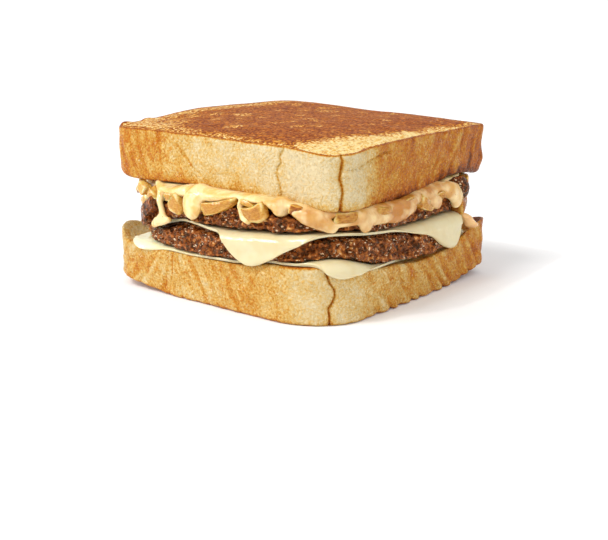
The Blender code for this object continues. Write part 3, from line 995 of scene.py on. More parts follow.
@dataclass(frozen=True, eq=False)
class BreadSlice:
    """What both slices share: the section, the fine relief of the crust, and its streaks."""

    stack: Stack
    columns: int = 840
    side: float = 112.0
    corner_reach: float = 75.0 * MM
    dent_depth: float = 0.9 * MM
    dent_turns: float = 3.2
    dent_seed: float = 0.0
    streak_width: float = 3.4
    streak_length: float = 12.0
    streak_seed: float = 7.0
    groove_depth: float = 0.4 * MM
    foot_round: float = 0.03
    foot_rise: float = 0.16

    def section(self, top_rings: int, base_rings: int) -> list[tuple[float, float]]:
        """Half section of a slice, finest on the side and at the edges.

        Args:
            top_rings: Number of rings of the top.
            base_rings: Number of rings of the base.

        Returns:
            (share of the radius, height from -1 to 1) points.
        """
        quarter = math.pi / 2.0
        base = [(share, -1.0) for share in ladder(0.0, 0.93, base_rings)]
        lower_edge = [(1.0 - self.foot_round * (1.0 - math.sin(turn)),
                       -1.0 + self.foot_rise * (1.0 - math.cos(turn))) for turn in ladder(0.25, quarter, 9)]
        wall = [(1.0, height) for height in ladder(self.foot_rise - 0.96, 0.84, 32)]
        upper_edge = [(0.984 + 0.016 * math.cos(turn), 0.86 + 0.14 * math.sin(turn))
                      for turn in ladder(0.15, quarter, 6)]
        rim = [(share, 1.0) for share in ladder(0.98, 0.955, 6)]
        top = [(share, 1.0) for share in ladder(0.94, 0.0, top_rings)]
        return base + lower_edge + wall + upper_edge + rim + top

    def dent(self, angle: float, height: float) -> float:
        """Depth of the soft dents in the crust."""
        spot = compass(angle) * self.dent_turns + Vector((0.0, 0.0, height + self.dent_seed))
        return self.dent_depth * max(noise.noise(spot) + 0.1, 0.0)

    def streak(self, turn: float, z: float, slant: float) -> float:
        """Uneven slanted streaks on the side, from about -1 to 1.

        Args:
            turn: Turn of the vertex round the axis in degrees.
            z: Height above the table.
            slant: How far a streak leans for each unit of height.

        Returns:
            The value.
        """
        way = turn / 90.0 * self.side + slant * z / MM
        spot = Vector((way / self.streak_width, z / MM / self.streak_length, self.streak_seed))
        return noise.fractal(spot, 0.8, 2.0, 2) * 1.2

    def griddle(self, piece: bpy.types.Object, griddled: bpy.types.Material,
                faces: Callable[[float, float], bool]) -> None:
        """Add the griddled finish to a piece in its crust, on the faces that are asked for.

        Args:
            piece: The piece.
            griddled: Finish of the griddled face.
            faces: Says whether a face is griddled, from its normal z and its share.
        """
        piece.data.materials.append(griddled)
        shares = piece.data.attributes["share"].data
        for polygon in piece.data.polygons:
            share = sum(shares[index].value for index in polygon.vertices) / len(polygon.vertices)
            polygon.material_index = 1 if faces(polygon.normal.z, share) else 0

    def keep_shares(self, piece: bpy.types.Object) -> None:
        """Note each vertex's share of the radius before it is moved."""
        Bench.note(piece, "share", [vertex.co.xy.length for vertex in piece.data.vertices])


@dataclass(frozen=True, eq=False)
class LowerSlice(BreadSlice):
    """The lower slice: flat underneath, squashed in the middle, its left and right corners curled up."""

    curl: Bumps = ((-135, 26, 26, 3.0), (-139, 9, 9, 4.8), (45, 24, 24, 3.5))
    browning: Knots = (
        (-141, 0.12), (-137, 0.22), (-132, 0.42), (-126, 0.46), (-112, 0.42), (-98, 0.38), (-84, 0.46),
        (-72, 0.48), (-60, 0.38), (-52, 0.22), (-45, 0.14), (-38, 0.18), (-28, 0.36), (-10, 0.46), (10, 0.52),
        (28, 0.56), (38, 0.62), (46, 0.76), (70, 0.6), (110, 0.45), (150, 0.55), (190, 0.45),
    )
    slant: Knots = ((-140, -0.9), (-116, -0.8), (-104, 0.5), (-60, 0.6), (-30, 0.6), (30, 0.7), (120, -0.5))
    grooved: Knots = ((-140, 0.8), (-112, 1.0), (-98, 0.9), (-80, 0.6), (-60, 0.3), (-40, 0.15), (-25, 0.5),
                      (0, 0.6), (30, 0.5), (46, 0.9), (120, 0.6))
    crease: Crease = Crease((
        (-0.96, -43.4), (-0.68, -43.4), (-0.4, -43.8), (-0.25, -42.8), (0.0, -41.8), (0.23, -42.0),
        (0.42, -43.3), (0.61, -44.0), (0.89, -44.7), (1.0, -45.5),
    ), 0.42 * MM, 1.1 * MM, 3.0 * MM, 0.68)
    folds: Knots = ((-140, 0.25), (-100, 0.35), (-60, 0.15), (-45, 0.0), (-35, 0.2), (-15, 1.0), (35, 1.0),
                    (46, 0.5), (60, 0.8), (120, 0.8), (180, 0.6))
    fold_spacing: float = 7.8
    fold_depth: float = 0.7 * MM
    notch_depth: float = 0.7 * MM
    splay: Bumps = ((-141, 15, 14, 1.6), (135, 16, 16, 0.8))
    edge_line: Bumps = ((-50, 9, 6, 1000.0),)

    def fold(self, turn: float, z: float) -> float:
        """Soft upright folds of the squashed side, from -1 in a valley to 1 on a ridge.

        Args:
            turn: Turn of the vertex round the axis in degrees.
            z: Height above the table.

        Returns:
            The value.
        """
        way = turn / 90.0 * self.side + 0.75 * z / MM
        wobble = 5.0 * noise.noise(Vector((way / 13.0, z / MM / 16.0, 3.0)))
        strength = 0.75 + 0.5 * noise.noise(Vector((way / 9.0, z / MM / 9.0, 6.0)))
        return strength * math.sin((way + wobble) / self.fold_spacing * 2.0 * math.pi)

    def place(self, turn: float, share: float, height: float) -> Vector:
        """Place of a vertex of the slice.

        Args:
            turn: Turn of the vertex round the axis in degrees.
            share: Share of the radius, from 0 at the axis to 1 at the edge.
            height: Height in the section, from -1 at the bottom to 1 at the top.

        Returns:
            The place in the frame.
        """
        angle = Bench.even_angle(turn)
        radius = self.stack.slice_lower(angle)
        side = smoothstep(0.9, 1.0, share)
        way = compass(angle)
        flat = way * radius * share
        foot = bumps(angle, self.curl) * smoothstep(0.7, 1.0, share)
        top = self.stack.bread_height(flat.x, flat.y)
        z = foot + (top - foot) * (height + 1.0) / 2.0
        if side > 0.0:
            fold = round_rim(self.folds, angle) * self.fold(turn, z) * self.fold_depth
            split, shoulder = self.crease.strength(angle, height, radius)
            streak = self.streak(turn, z, round_rim(self.slant, angle))
            ripple = self.groove_depth * streak * round_rim(self.grooved, angle)
            inward = self.dent(angle, height) - fold * (0.6 - 0.4 * height) + ripple
            inward += self.crease.depth * (split + 0.35 * shoulder)
            valley = max(-round_rim(self.folds, angle) * self.fold(turn, z), 0.0)
            lift = self.notch_depth * valley * smoothstep(-0.6, -1.0, height)
            outward = bumps(angle, self.splay, 1.0)
            flat -= way * (inward - outward) * side
            z += lift * side
        return Vector((flat.x, flat.y, z))

    def tint(self, turn: float, share: float, height: float, spot: Vector) -> float:
        """How browned a vertex is, from 0, cream, to 1, dark, with painted shade and highlight on its streaks
        and folds.

        Args:
            turn: Turn of the vertex round the axis in degrees.
            share: Share of the radius, from 0 at the axis to 1 at the edge.
            height: Height in the section, from -1 at the bottom to 1 at the top.
            spot: Place of the vertex.

        Returns:
            The tint.
        """
        angle = Bench.even_angle(turn)
        if share < 0.9 and height > 0.0:
            return 0.3
        if share < 0.93 and height < 0.0:
            return 0.75 + 0.25 * noise.noise(spot / (14.0 * MM))
        tone = round_rim(self.browning, angle)
        # Darker in the grooves of the streaks and paler on their ridges: painted shade and highlight, over
        # the crust's own streaks of colour.
        streak = self.streak(turn, spot.z, round_rim(self.slant, angle))
        tone += 0.2 * streak * round_rim(self.grooved, angle)
        # Paler on the ridges of the folds and darker in their valleys: partly the valleys' own browner crust,
        # partly painted highlight and shade.
        tone -= 0.1 * round_rim(self.folds, angle) * self.fold(turn, spot.z)
        split, shoulder = self.crease.strength(angle, height, self.corner_reach)
        tone += self.crease.tone * split + 0.12 * shoulder * (1.0 - split)
        tone += 0.3 * smoothstep(-0.82, -1.0, height)
        tone += 0.22 * smoothstep(0.8, 1.0, height) * smoothstep(1.0, 0.96, share)
        tone += 0.55 * bumps(angle, self.edge_line, 0.5) * smoothstep(0.9, 0.99, height)
        if height > 0.98 and share < 0.965:
            tone *= 0.55
        return min(max(tone, 0.0), 1.0)

    def build(self, crust: bpy.types.Material, griddled: bpy.types.Material) -> None:
        """Make the slice.

        Args:
            crust: Finish of the crust.
            griddled: Finish of the griddled face.
        """
        piece = Bench.spin("slice_lower", self.section(14, 14), self.columns)
        self.keep_shares(piece)
        Bench.place(piece, self.place, self.tint)
        Bench.settle(piece, "bread_bottom", "bread", crust)
        self.griddle(piece, griddled, lambda up, share: up < -0.75 and share < 0.96)


@dataclass(frozen=True, eq=False)
class UpperSlice(BreadSlice):
    """The upper slice, set back a little, turned a little and leaning to the front, griddled on top."""

    half: float = 55.8 * MM
    corners: tuple[float, ...] = (11, 9, 10, 9)
    shift: tuple[float, float] = (-1.3 * MM, 3.2 * MM)
    turned: float = 2.3
    dome_power: float = 2.5
    browning: Knots = (
        (-141, 0.62), (-134, 0.62), (-124, 0.52), (-112, 0.44), (-98, 0.3), (-84, 0.22), (-72, 0.12),
        (-58, 0.07), (-42, 0.05), (-38, 0.08), (-35, 0.32), (-28, 0.6), (-12, 0.66), (8, 0.64), (24, 0.66),
        (36, 0.78), (46, 0.9), (70, 0.66), (110, 0.5), (150, 0.6), (190, 0.5),
    )
    slant: Knots = ((-140, 0.2), (-120, 0.4), (-60, 0.5), (-38, 0.2), (-28, -1.2), (0, -0.6), (20, -0.55),
                    (45, -0.4), (120, 0.4))
    grooved: Knots = ((-140, 0.6), (-120, 0.8), (-100, 0.6), (-80, 0.35), (-62, 0.1), (-44, 0.1), (-36, 0.4),
                      (-15, 0.4), (10, 0.6), (22, 1.0), (45, 1.0), (120, 0.6))
    creases: tuple[Crease, ...] = (
        Crease(((-0.9, -61.2), (-0.4, -61.9), (-0.09, -63.0), (0.16, -62.9), (0.37, -61.4), (0.61, -61.9),
                (0.82, -60.8), (1.0, -60.3)), 0.4 * MM, 0.7 * MM, 2.0 * MM, 0.42),
        Crease(((-1.0, -44.4), (-0.6, -44.3), (-0.31, -43.8), (-0.09, -44.0), (0.16, -44.7), (0.45, -44.3),
                (0.75, -43.9), (1.0, -44.4)), 0.55 * MM, 1.1 * MM, 3.0 * MM, 0.66),
        Crease(((-0.78, -113.4), (-0.2, -116.3), (0.4, -117.4), (0.92, -118.8)),
               0.7 * MM, 0.3 * MM, 2.2 * MM, 0.16),
        Crease(((-0.5, -98.6), (-0.2, -102.8), (0.2, -106.4), (0.6, -109.4)),
               0.8 * MM, 0.35 * MM, 2.2 * MM, 0.2),
        Crease(((-0.3, -84.5), (0.05, -82.7), (0.4, -80.5)), 0.7 * MM, 0.3 * MM, 1.6 * MM, 0.14),
        Crease(((0.38, -41.0), (0.53, -34.7), (0.65, -29.0), (0.72, -23.0)),
               2.2 * MM, 0.7 * MM, 5.0 * MM, 0.14),
        # The last two are raised ridges with a negative tone: painted highlights for the glossy glints on the
        # near block.
        Crease(((0.55, -55.0), (0.87, -59.0)), 0.8 * MM, -0.4 * MM, 1.0 * MM, -0.7),
        Crease(((-0.08, -56.4), (0.24, -59.6)), 0.6 * MM, -0.35 * MM, 1.0 * MM, -0.4),
    )
    dent_seed: float = 5.0
    streak_seed: float = 2.0
    streak_rise: float = 10.0 * MM
    groove_depth: float = 0.36 * MM
    sway: float = 0.5 * MM
    edge_drop: float = 0.35 * MM
    top_wave: float = 0.35 * MM
    droop: Bumps = ((42, 12, 10, 2.4),)
    droop_fall: float = 2.4 * MM
    droop_inward: float = 1.5 * MM
    tucked: Bumps = ((-137.5, 5, 9, 2.2),)
    unburnt: Bumps = ((-134, 20, 26, 900.0),)
    nub: Bumps = ((-138.5, 4.5, 3.5, 1.0), (-147, 4, 2.5, 0.6))

    def place(self, turn: float, share: float, height: float) -> Vector:
        """Place of a vertex of the slice.

        Args:
            turn: Turn of the vertex round the axis in degrees.
            share: Share of the radius, from 0 at the axis to 1 at the edge.
            height: Height in the section, from -1 at the bottom to 1 at the top.

        Returns:
            The place in the frame.
        """
        angle = Bench.even_angle(turn)
        radius = square_radius(angle, self.half, self.corners)
        side = smoothstep(0.9, 1.0, share)
        reach = radius * share - self.dent(angle, height) * side
        if side > 0.0:
            way = turn / 90.0 * self.side
            for crease in self.creases:
                split, shoulder = crease.strength(angle, height, radius)
                reach -= crease.depth * (split + 0.3 * shoulder) * side
            rough = self.streak(turn, height * self.streak_rise, round_rim(self.slant, angle))
            reach -= self.groove_depth * rough * side * round_rim(self.grooved, angle)
            reach -= self.sway * noise.noise(Vector((way / 9.0, height * 1.2, 8.0))) * side
        drooping = self.droop_inward * bumps(angle, self.droop) / self.droop_fall
        reach -= drooping * smoothstep(-0.2, -1.0, height) * side
        flat = compass(angle + self.turned) * reach
        x = flat.x + self.shift[0]
        y = flat.y + self.shift[1]
        base = self.stack.height(Level.SLICE_UPPER_BASE, x, y)
        base += (bumps(angle, self.tucked) - bumps(angle, self.droop)) * smoothstep(0.86, 1.0, share)
        top = self.stack.height(Level.SLICE_UPPER, x, y, self.dome_power)
        top += bumps(angle, self.nub) * smoothstep(0.93, 0.99, share)
        if height > 0.99:
            top -= self.edge_drop * smoothstep(0.9, 0.98, share) * smoothstep(1.0, 0.985, share)
            top += self.top_wave * noise.noise(Vector((x, y, 0.0)) / (7.0 * MM)) * smoothstep(1.0, 0.9, share)
        return Vector((x, y, base + (top - base) * (height + 1.0) / 2.0))

    def griddle_tint(self, x: float, y: float) -> float:
        """How browned the griddled top is at a point of it.

        Args:
            x: Place to the right of the slice's middle.
            y: Place behind the slice's middle.

        Returns:
            The tint, from about 0 to 1.
        """
        wobble = noise.fractal(Vector((x, y, 0.0)) / (9.0 * MM), 0.8, 2.0, 3)
        left = (x + self.half) / MM + 3.0 * wobble
        right = (self.half - x) / MM + 2.5 * wobble
        front = (y + self.half) / MM + 2.0 * wobble
        back = (self.half - y) / MM + 2.0 * wobble
        pale = 0.6 * smoothstep(12.0, 5.0, left)
        band = 4.0 + 11.0 * smoothstep(-10.0, -48.0, y / MM) + 3.0 * smoothstep(10.0, -10.0, y / MM)
        pale = max(pale, smoothstep(band + 5.0, band - 3.5, right))
        pale = max(pale, 0.58 * smoothstep(8.0, 1.5, front))
        pale = max(pale, 0.3 * smoothstep(5.0, 0.5, back))
        pale = max(pale, 0.58 * smoothstep(42.0, 20.0, math.hypot(left, front * 1.25)))
        spots = smoothstep(0.28, 0.5, noise.noise(Vector((x, y, 4.0)) / (7.0 * MM))) * 0.35
        rim = 0.25 * smoothstep(3.5, 1.0, min(left, front))
        return 0.9 - 0.84 * max(pale, spots) + 0.06 * wobble + rim

    def tint(self, turn: float, share: float, height: float, spot: Vector) -> float:
        """How browned a vertex is, from 0, cream, to 1, dark, with painted shade and highlight on its streaks
        and painted glints on the near block.

        Args:
            turn: Turn of the vertex round the axis in degrees.
            share: Share of the radius, from 0 at the axis to 1 at the edge.
            height: Height in the section, from -1 at the bottom to 1 at the top.
            spot: Place of the vertex.

        Returns:
            The tint.
        """
        angle = Bench.even_angle(turn)
        back_left = smoothstep(-175.0, -150.0, angle) * smoothstep(-128.0, -140.0, angle)
        if height > 0.99:
            level = self.griddle_tint(spot.x - self.shift[0], spot.y - self.shift[1])
            line = smoothstep(0.972, 0.985, share)
            return min(max(level + (0.85 - level) * line * (1.0 - 0.4 * back_left), 0.0), 1.0)
        if share < 0.93 and height < 0.0:
            return 0.45
        tone = round_rim(self.browning, angle)
        # Darker in the grooves of the streaks and paler on their ridges: painted shade and highlight, over
        # the crust's own streaks of colour.
        rough = self.streak(turn, height * self.streak_rise, round_rim(self.slant, angle))
        tone += 0.2 * rough * round_rim(self.grooved, angle)
        for crease in self.creases:
            split, shoulder = crease.strength(angle, height, self.corner_reach)
            tone += crease.tone * (split + 0.12 * shoulder * (1.0 - split))
        lower = noise.noise(Vector((turn / 4.0, 0.0, 9.0)))
        foot = 0.3 * smoothstep(-0.45 - 0.3 * lower, -1.0, height)
        ragged = max(noise.noise(Vector((turn / 1.1, 0.0, 4.0))), -0.5)
        foot += 0.5 * smoothstep(-0.93 + 0.1 * ragged, -1.0, height)
        tone += foot * (1.0 - bumps(angle, self.unburnt))
        tone += (0.9 - tone) * 0.9 * smoothstep(0.91, 0.98, height)
        return min(max(tone, 0.0), 1.0)

    def build(self, crust: bpy.types.Material, griddled: bpy.types.Material) -> None:
        """Make the slice.

        Args:
            crust: Finish of the crust.
            griddled: Finish of the griddled face.
        """
        piece = Bench.spin("slice_upper", self.section(46, 8), self.columns)
        self.keep_shares(piece)
        Bench.place(piece, self.place, self.tint)
        Bench.settle(piece, "bread_top", "bread", crust)
        self.griddle(piece, griddled, lambda up, share: up > 0.75 and share < 0.986)


@dataclass(frozen=True)
class Chunk:
    """A piece that sticks out at the side; lengths in mm.

    Attributes:
        angle: Compass angle of its middle.
        height: Height of its middle.
        length: Half its length along the side.
        width: Half its width up the side.
        tilt: How far it is turned in the side's plane, in degrees; positive lifts its +angle end.
        taper: Share of its width that it loses towards its +angle end.
        bend: How far its ends rise above its middle.
        thick: Half its thickness.
        tone: How light it is.
    """

    angle: float
    height: float
    length: float
    width: float
    tilt: float = 0.0
    taper: float = 0.0
    bend: float = 0.0
    thick: float = 2.0
    tone: float = 0.5


UPPER_LUMPS = (
    Chunk(-119.5, 34.4, 5.6, 2.7, 34.0, 0.0, 0.0, 3.4), Chunk(-123.0, 29.6, 2.8, 2.8, 30.0, 0.0, 0.0, 3.0),
    Chunk(28.5, 39.8, 3.4, 4.4, 25.0, 0.0, 0.0, 3.8),
)


@dataclass(frozen=True, eq=False)
class Patty:
    """A pressed patty with a rounded, craggy edge of packed grains."""

    stack: Stack
    name: str
    node: str
    outline: Callable[[float], float]
    base: Level
    top: Level
    seed: float
    lumps: tuple[Chunk, ...] = ()
    columns: int = 800
    edge_power: float = 9.0
    crag_size: float = 6.0 * MM
    crag_depth: float = 2.0 * MM
    squeeze: float = 0.35
    grain: float = 2.8 * MM
    grain_depth: float = 1.3 * MM
    shake: float = 3.0 * MM
    stand_off: float = 1.1 * MM
    lump_cuts: int = 23
    hang: float = 0.0
    bulge: Bumps = ()

    def profile(self) -> list[tuple[float, float]]:
        """Half section of the patty, finest at its edge.

        Returns:
            (share of the radius, height from -1 to 1) points.
        """
        power = self.edge_power
        flat = ladder(0.0, 0.8, 6) + ladder(0.82, 0.955, 14)
        rim = [((1.0 - abs(height) ** power) ** (1.0 / power), height)
               for height in ladder(-0.985, 0.985, 34)]
        return [(share, -1.0) for share in flat] + rim + [(share, 1.0) for share in reversed(flat)]

    def relief(self, spot: Vector) -> float:
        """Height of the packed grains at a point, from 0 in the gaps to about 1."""
        shaken = spot / self.grain + 0.45 * noise.noise_vector(spot / self.shake) + Vector((self.seed,) * 3)
        return 0.72 * pebbles(shaken) + 0.28 * pebbles(shaken * 2.1)

    def place(self, turn: float, share: float, height: float) -> Vector:
        """Place of a vertex of the patty.

        Args:
            turn: Turn of the vertex round the axis in degrees.
            share: Share of the radius, from 0 at the axis to 1 at the edge.
            height: Height in the section, from -1 at the bottom to 1 at the top.

        Returns:
            The place in the frame.
        """
        angle = round(turn, 2)
        way = compass(angle)
        radius = self.outline(angle) * share
        flat = way * radius
        base = self.stack.height(self.base, flat.x, flat.y) - self.hang * smoothstep(0.93, 1.0, share)
        top = self.stack.height(self.top, flat.x, flat.y)
        spot = Vector((flat.x, flat.y, base + (top - base) * height))
        crag = max(noise.noise(spot / self.crag_size + Vector((self.seed,) * 3)) + 0.4, 0.0) * self.crag_depth
        crag *= smoothstep(0.8, 1.0, share)
        half = (top - base) / 2.0 - crag * self.squeeze
        place = Vector((flat.x, flat.y, (base + top) / 2.0 + half * height)) - way * crag
        out = smoothstep(0.86, 0.97, share)
        if out > 0.0:
            depth = self.grain_depth * (1.0 - self.relief(place)) * out
            place -= (way * (1.0 - abs(height) ** 4) + Vector((0.0, 0.0, 0.6 * height))) * depth
            place += way * (self.stand_off + bumps(angle, self.bulge)) * out
        return place

    def tint(self, turn: float, share: float, height: float, spot: Vector) -> float:
        """How light a vertex is, from 0 in the gaps between the grains: painted shade in the gaps.

        Args:
            turn: Turn of the vertex round the axis in degrees; not used.
            share: Share of the radius, from 0 at the axis to 1 at the edge.
            height: Height in the section, from -1 at the bottom to 1 at the top; not used.
            spot: Place of the vertex.

        Returns:
            The tint.
        """
        if share < 0.86:
            return 0.4
        # Painted shade: darker where the grains are pressed in.
        return 0.15 + 0.7 * self.relief(spot)

    def lump(self, lump: Chunk) -> bpy.types.Object:
        """A rough, blocky lump of mince that sticks out at the side.

        Args:
            lump: Its place and size.

        Returns:
            The lump.
        """
        piece = Bench.block(self.lump_cuts)
        spot, outward, way = self.stack.beside(lump.angle, lump.height * MM)
        turn = math.radians(lump.tilt)
        roundness = 0.4 if lump.angle < 0.0 else 0.85
        tints = []
        points = []
        for vertex in piece.data.vertices:
            u, v, w = vertex.co.lerp(vertex.co.normalized() * 1.2, roundness)
            v *= 1.0 - lump.taper * (u + 1.0) / 2.0
            side = u * lump.length * math.cos(turn) - v * lump.width * math.sin(turn)
            up = u * lump.length * math.sin(turn) + v * lump.width * math.cos(turn)
            place = spot + (outward * w * lump.thick + way * side + Vector((0.0, 0.0, up))) * MM
            relief = self.relief(place)
            out = (place - spot).normalized()
            rough = 0.5 * noise.noise(place / self.shake) * MM
            place += out * (rough - 0.2 * self.grain_depth * (1.0 - relief))
            points.extend(place)
            # Painted shade: darker in the gaps between the grains.
            tints.append(0.05 + 0.4 * relief)
        piece.data.vertices.foreach_set("co", points)
        Bench.note(piece, "tint", tints)
        Bench.face_outwards(piece)
        return piece

    def build(self, material: bpy.types.Material) -> None:
        """Make the patty.

        Args:
            material: Its finish.
        """
        piece = Bench.spin(self.name, self.profile(), self.columns)
        Bench.place(piece, self.place, self.tint)
        piece = Bench.join([piece] + [self.lump(lump) for lump in self.lumps], self.name)
        Bench.settle(piece, self.node, "beef", material)


@dataclass(frozen=True, eq=False)
class CheeseSlice:
    """A slice of melted cheese whose corners hang down over what carries it."""

    stack: Stack
    name: str
    node: str
    edge: Callable[[float], float]
    surface: Callable[[float, float], float]
    ceiling: Level
    hem: Knots
    thickness: float = 2.5 * MM
    least: float = 0.9 * MM
    lift: float = 0.4 * MM
    taper: float = 0.35
    bead: float = 0.35
    last_ring: float = 0.15 * MM
    columns: int = 540
    knee: float = 0.70
    turned: float = 0.80
    tip: float = 0.97
    softness: float = 0.45 * MM
    # Where each sheet is painted paler: painted light on its left end, which lies in shade.
    pale: Bumps = ((-132, 26, 26, 1000.0),)

    def profile(self) -> list[tuple[float, float]]:
        """Half section of the sheet: flat, through the bend, down to a rounded end and back.

        Returns:
            (share of the way along the sheet, height from -1 to 1) points.
        """
        way = ladder(0.0, self.knee, 5) + ladder(self.knee, self.turned, 6)[1:]
        way += ladder(self.turned, self.tip, 12)[1:]
        nose = [(self.tip + (1.0 - self.tip) * math.cos(turn), math.sin(turn))
                for turn in ladder(-math.pi / 2.0, math.pi / 2.0, 9)][1:-1]
        return [(share, -1.0) for share in way] + nose + [(share, 1.0) for share in reversed(way)]

    def run(self, angle: float, share: float, reach: float) -> float:
        """Way along the sheet at a share of its section.

        Args:
            angle: Compass angle.
            share: Share of the section's way.
            reach: How far the hem is past the edge.

        Returns:
            The way in metres.
        """
        edge = self.edge(angle)
        end = edge + reach
        knee = min(edge - self.stack.bend, end - self.stack.bend)
        if share <= self.knee:
            return knee * share / self.knee
        bend = self.stack.bend * math.pi / 2.0 * min((share - self.knee) / (self.turned - self.knee), 1.0)
        turned = min(knee + bend, end - self.last_ring)
        return turned + (end - turned) * max(share - self.turned, 0.0) / (1.0 - self.turned)

    def place(self, turn: float, share: float, height: float) -> Vector:
        """Place of a vertex of the cheese.

        Args:
            turn: Turn of the vertex round the axis in degrees.
            share: Share of the radius, from 0 at the axis to 1 at the edge.
            height: Height in the section, from -1 at the bottom to 1 at the top.

        Returns:
            The place in the frame.
        """
        angle = round(turn, 2)
        edge = self.edge(angle)
        reach = round_curve(self.hem, angle) * MM
        run = self.run(angle, share, reach)
        flat = compass(angle) * min(run, edge - self.stack.bend)
        room = self.stack.height(self.ceiling, flat.x, flat.y) - self.surface(flat.x, flat.y)
        thickness = min(self.thickness, max(room - self.lift - self.stack.gap, self.least))
        down = smoothstep(self.turned, 1.0, share)
        beaded = smoothstep(0.86, 0.97, share) * smoothstep(0.0, 6.0 * MM, reach)
        thin = 1.0 - self.taper * down + self.bead * beaded
        lift = self.lift + thickness * thin * (height + 1.0) / 2.0
        spot = self.stack.drape(angle, run, lift, edge, self.surface)
        if height > 0.0 and share > self.knee:
            soft = noise.noise(Vector((math.radians(angle) * 9.0, run / (9.0 * MM), 2.0)))
            spot += compass(angle) * (self.softness * soft * down * height)
        return spot

    def tint(self, turn: float, share: float, height: float, spot: Vector) -> float:
        """How pale a vertex is, from 0 to 1: painted light on the left end."""
        return bumps(turn, self.pale, 1.0)

    def build(self, material: bpy.types.Material) -> None:
        """Make the cheese.

        Args:
            material: Its finish.
        """
        piece = Bench.spin(self.name, self.profile(), self.columns)
        Bench.place(piece, self.place, self.tint)
        Bench.settle(piece, self.node, "cheese", material)


@dataclass(frozen=True)
class Stroke:
    """A run of sauce on the side.

    Attributes:
        knots: (compass angle, height in mm, half width in mm) of its points.
        thick: Its thickness in mm.
    """

    knots: tuple[tuple[float, float, float], ...]
    thick: float = 1.3


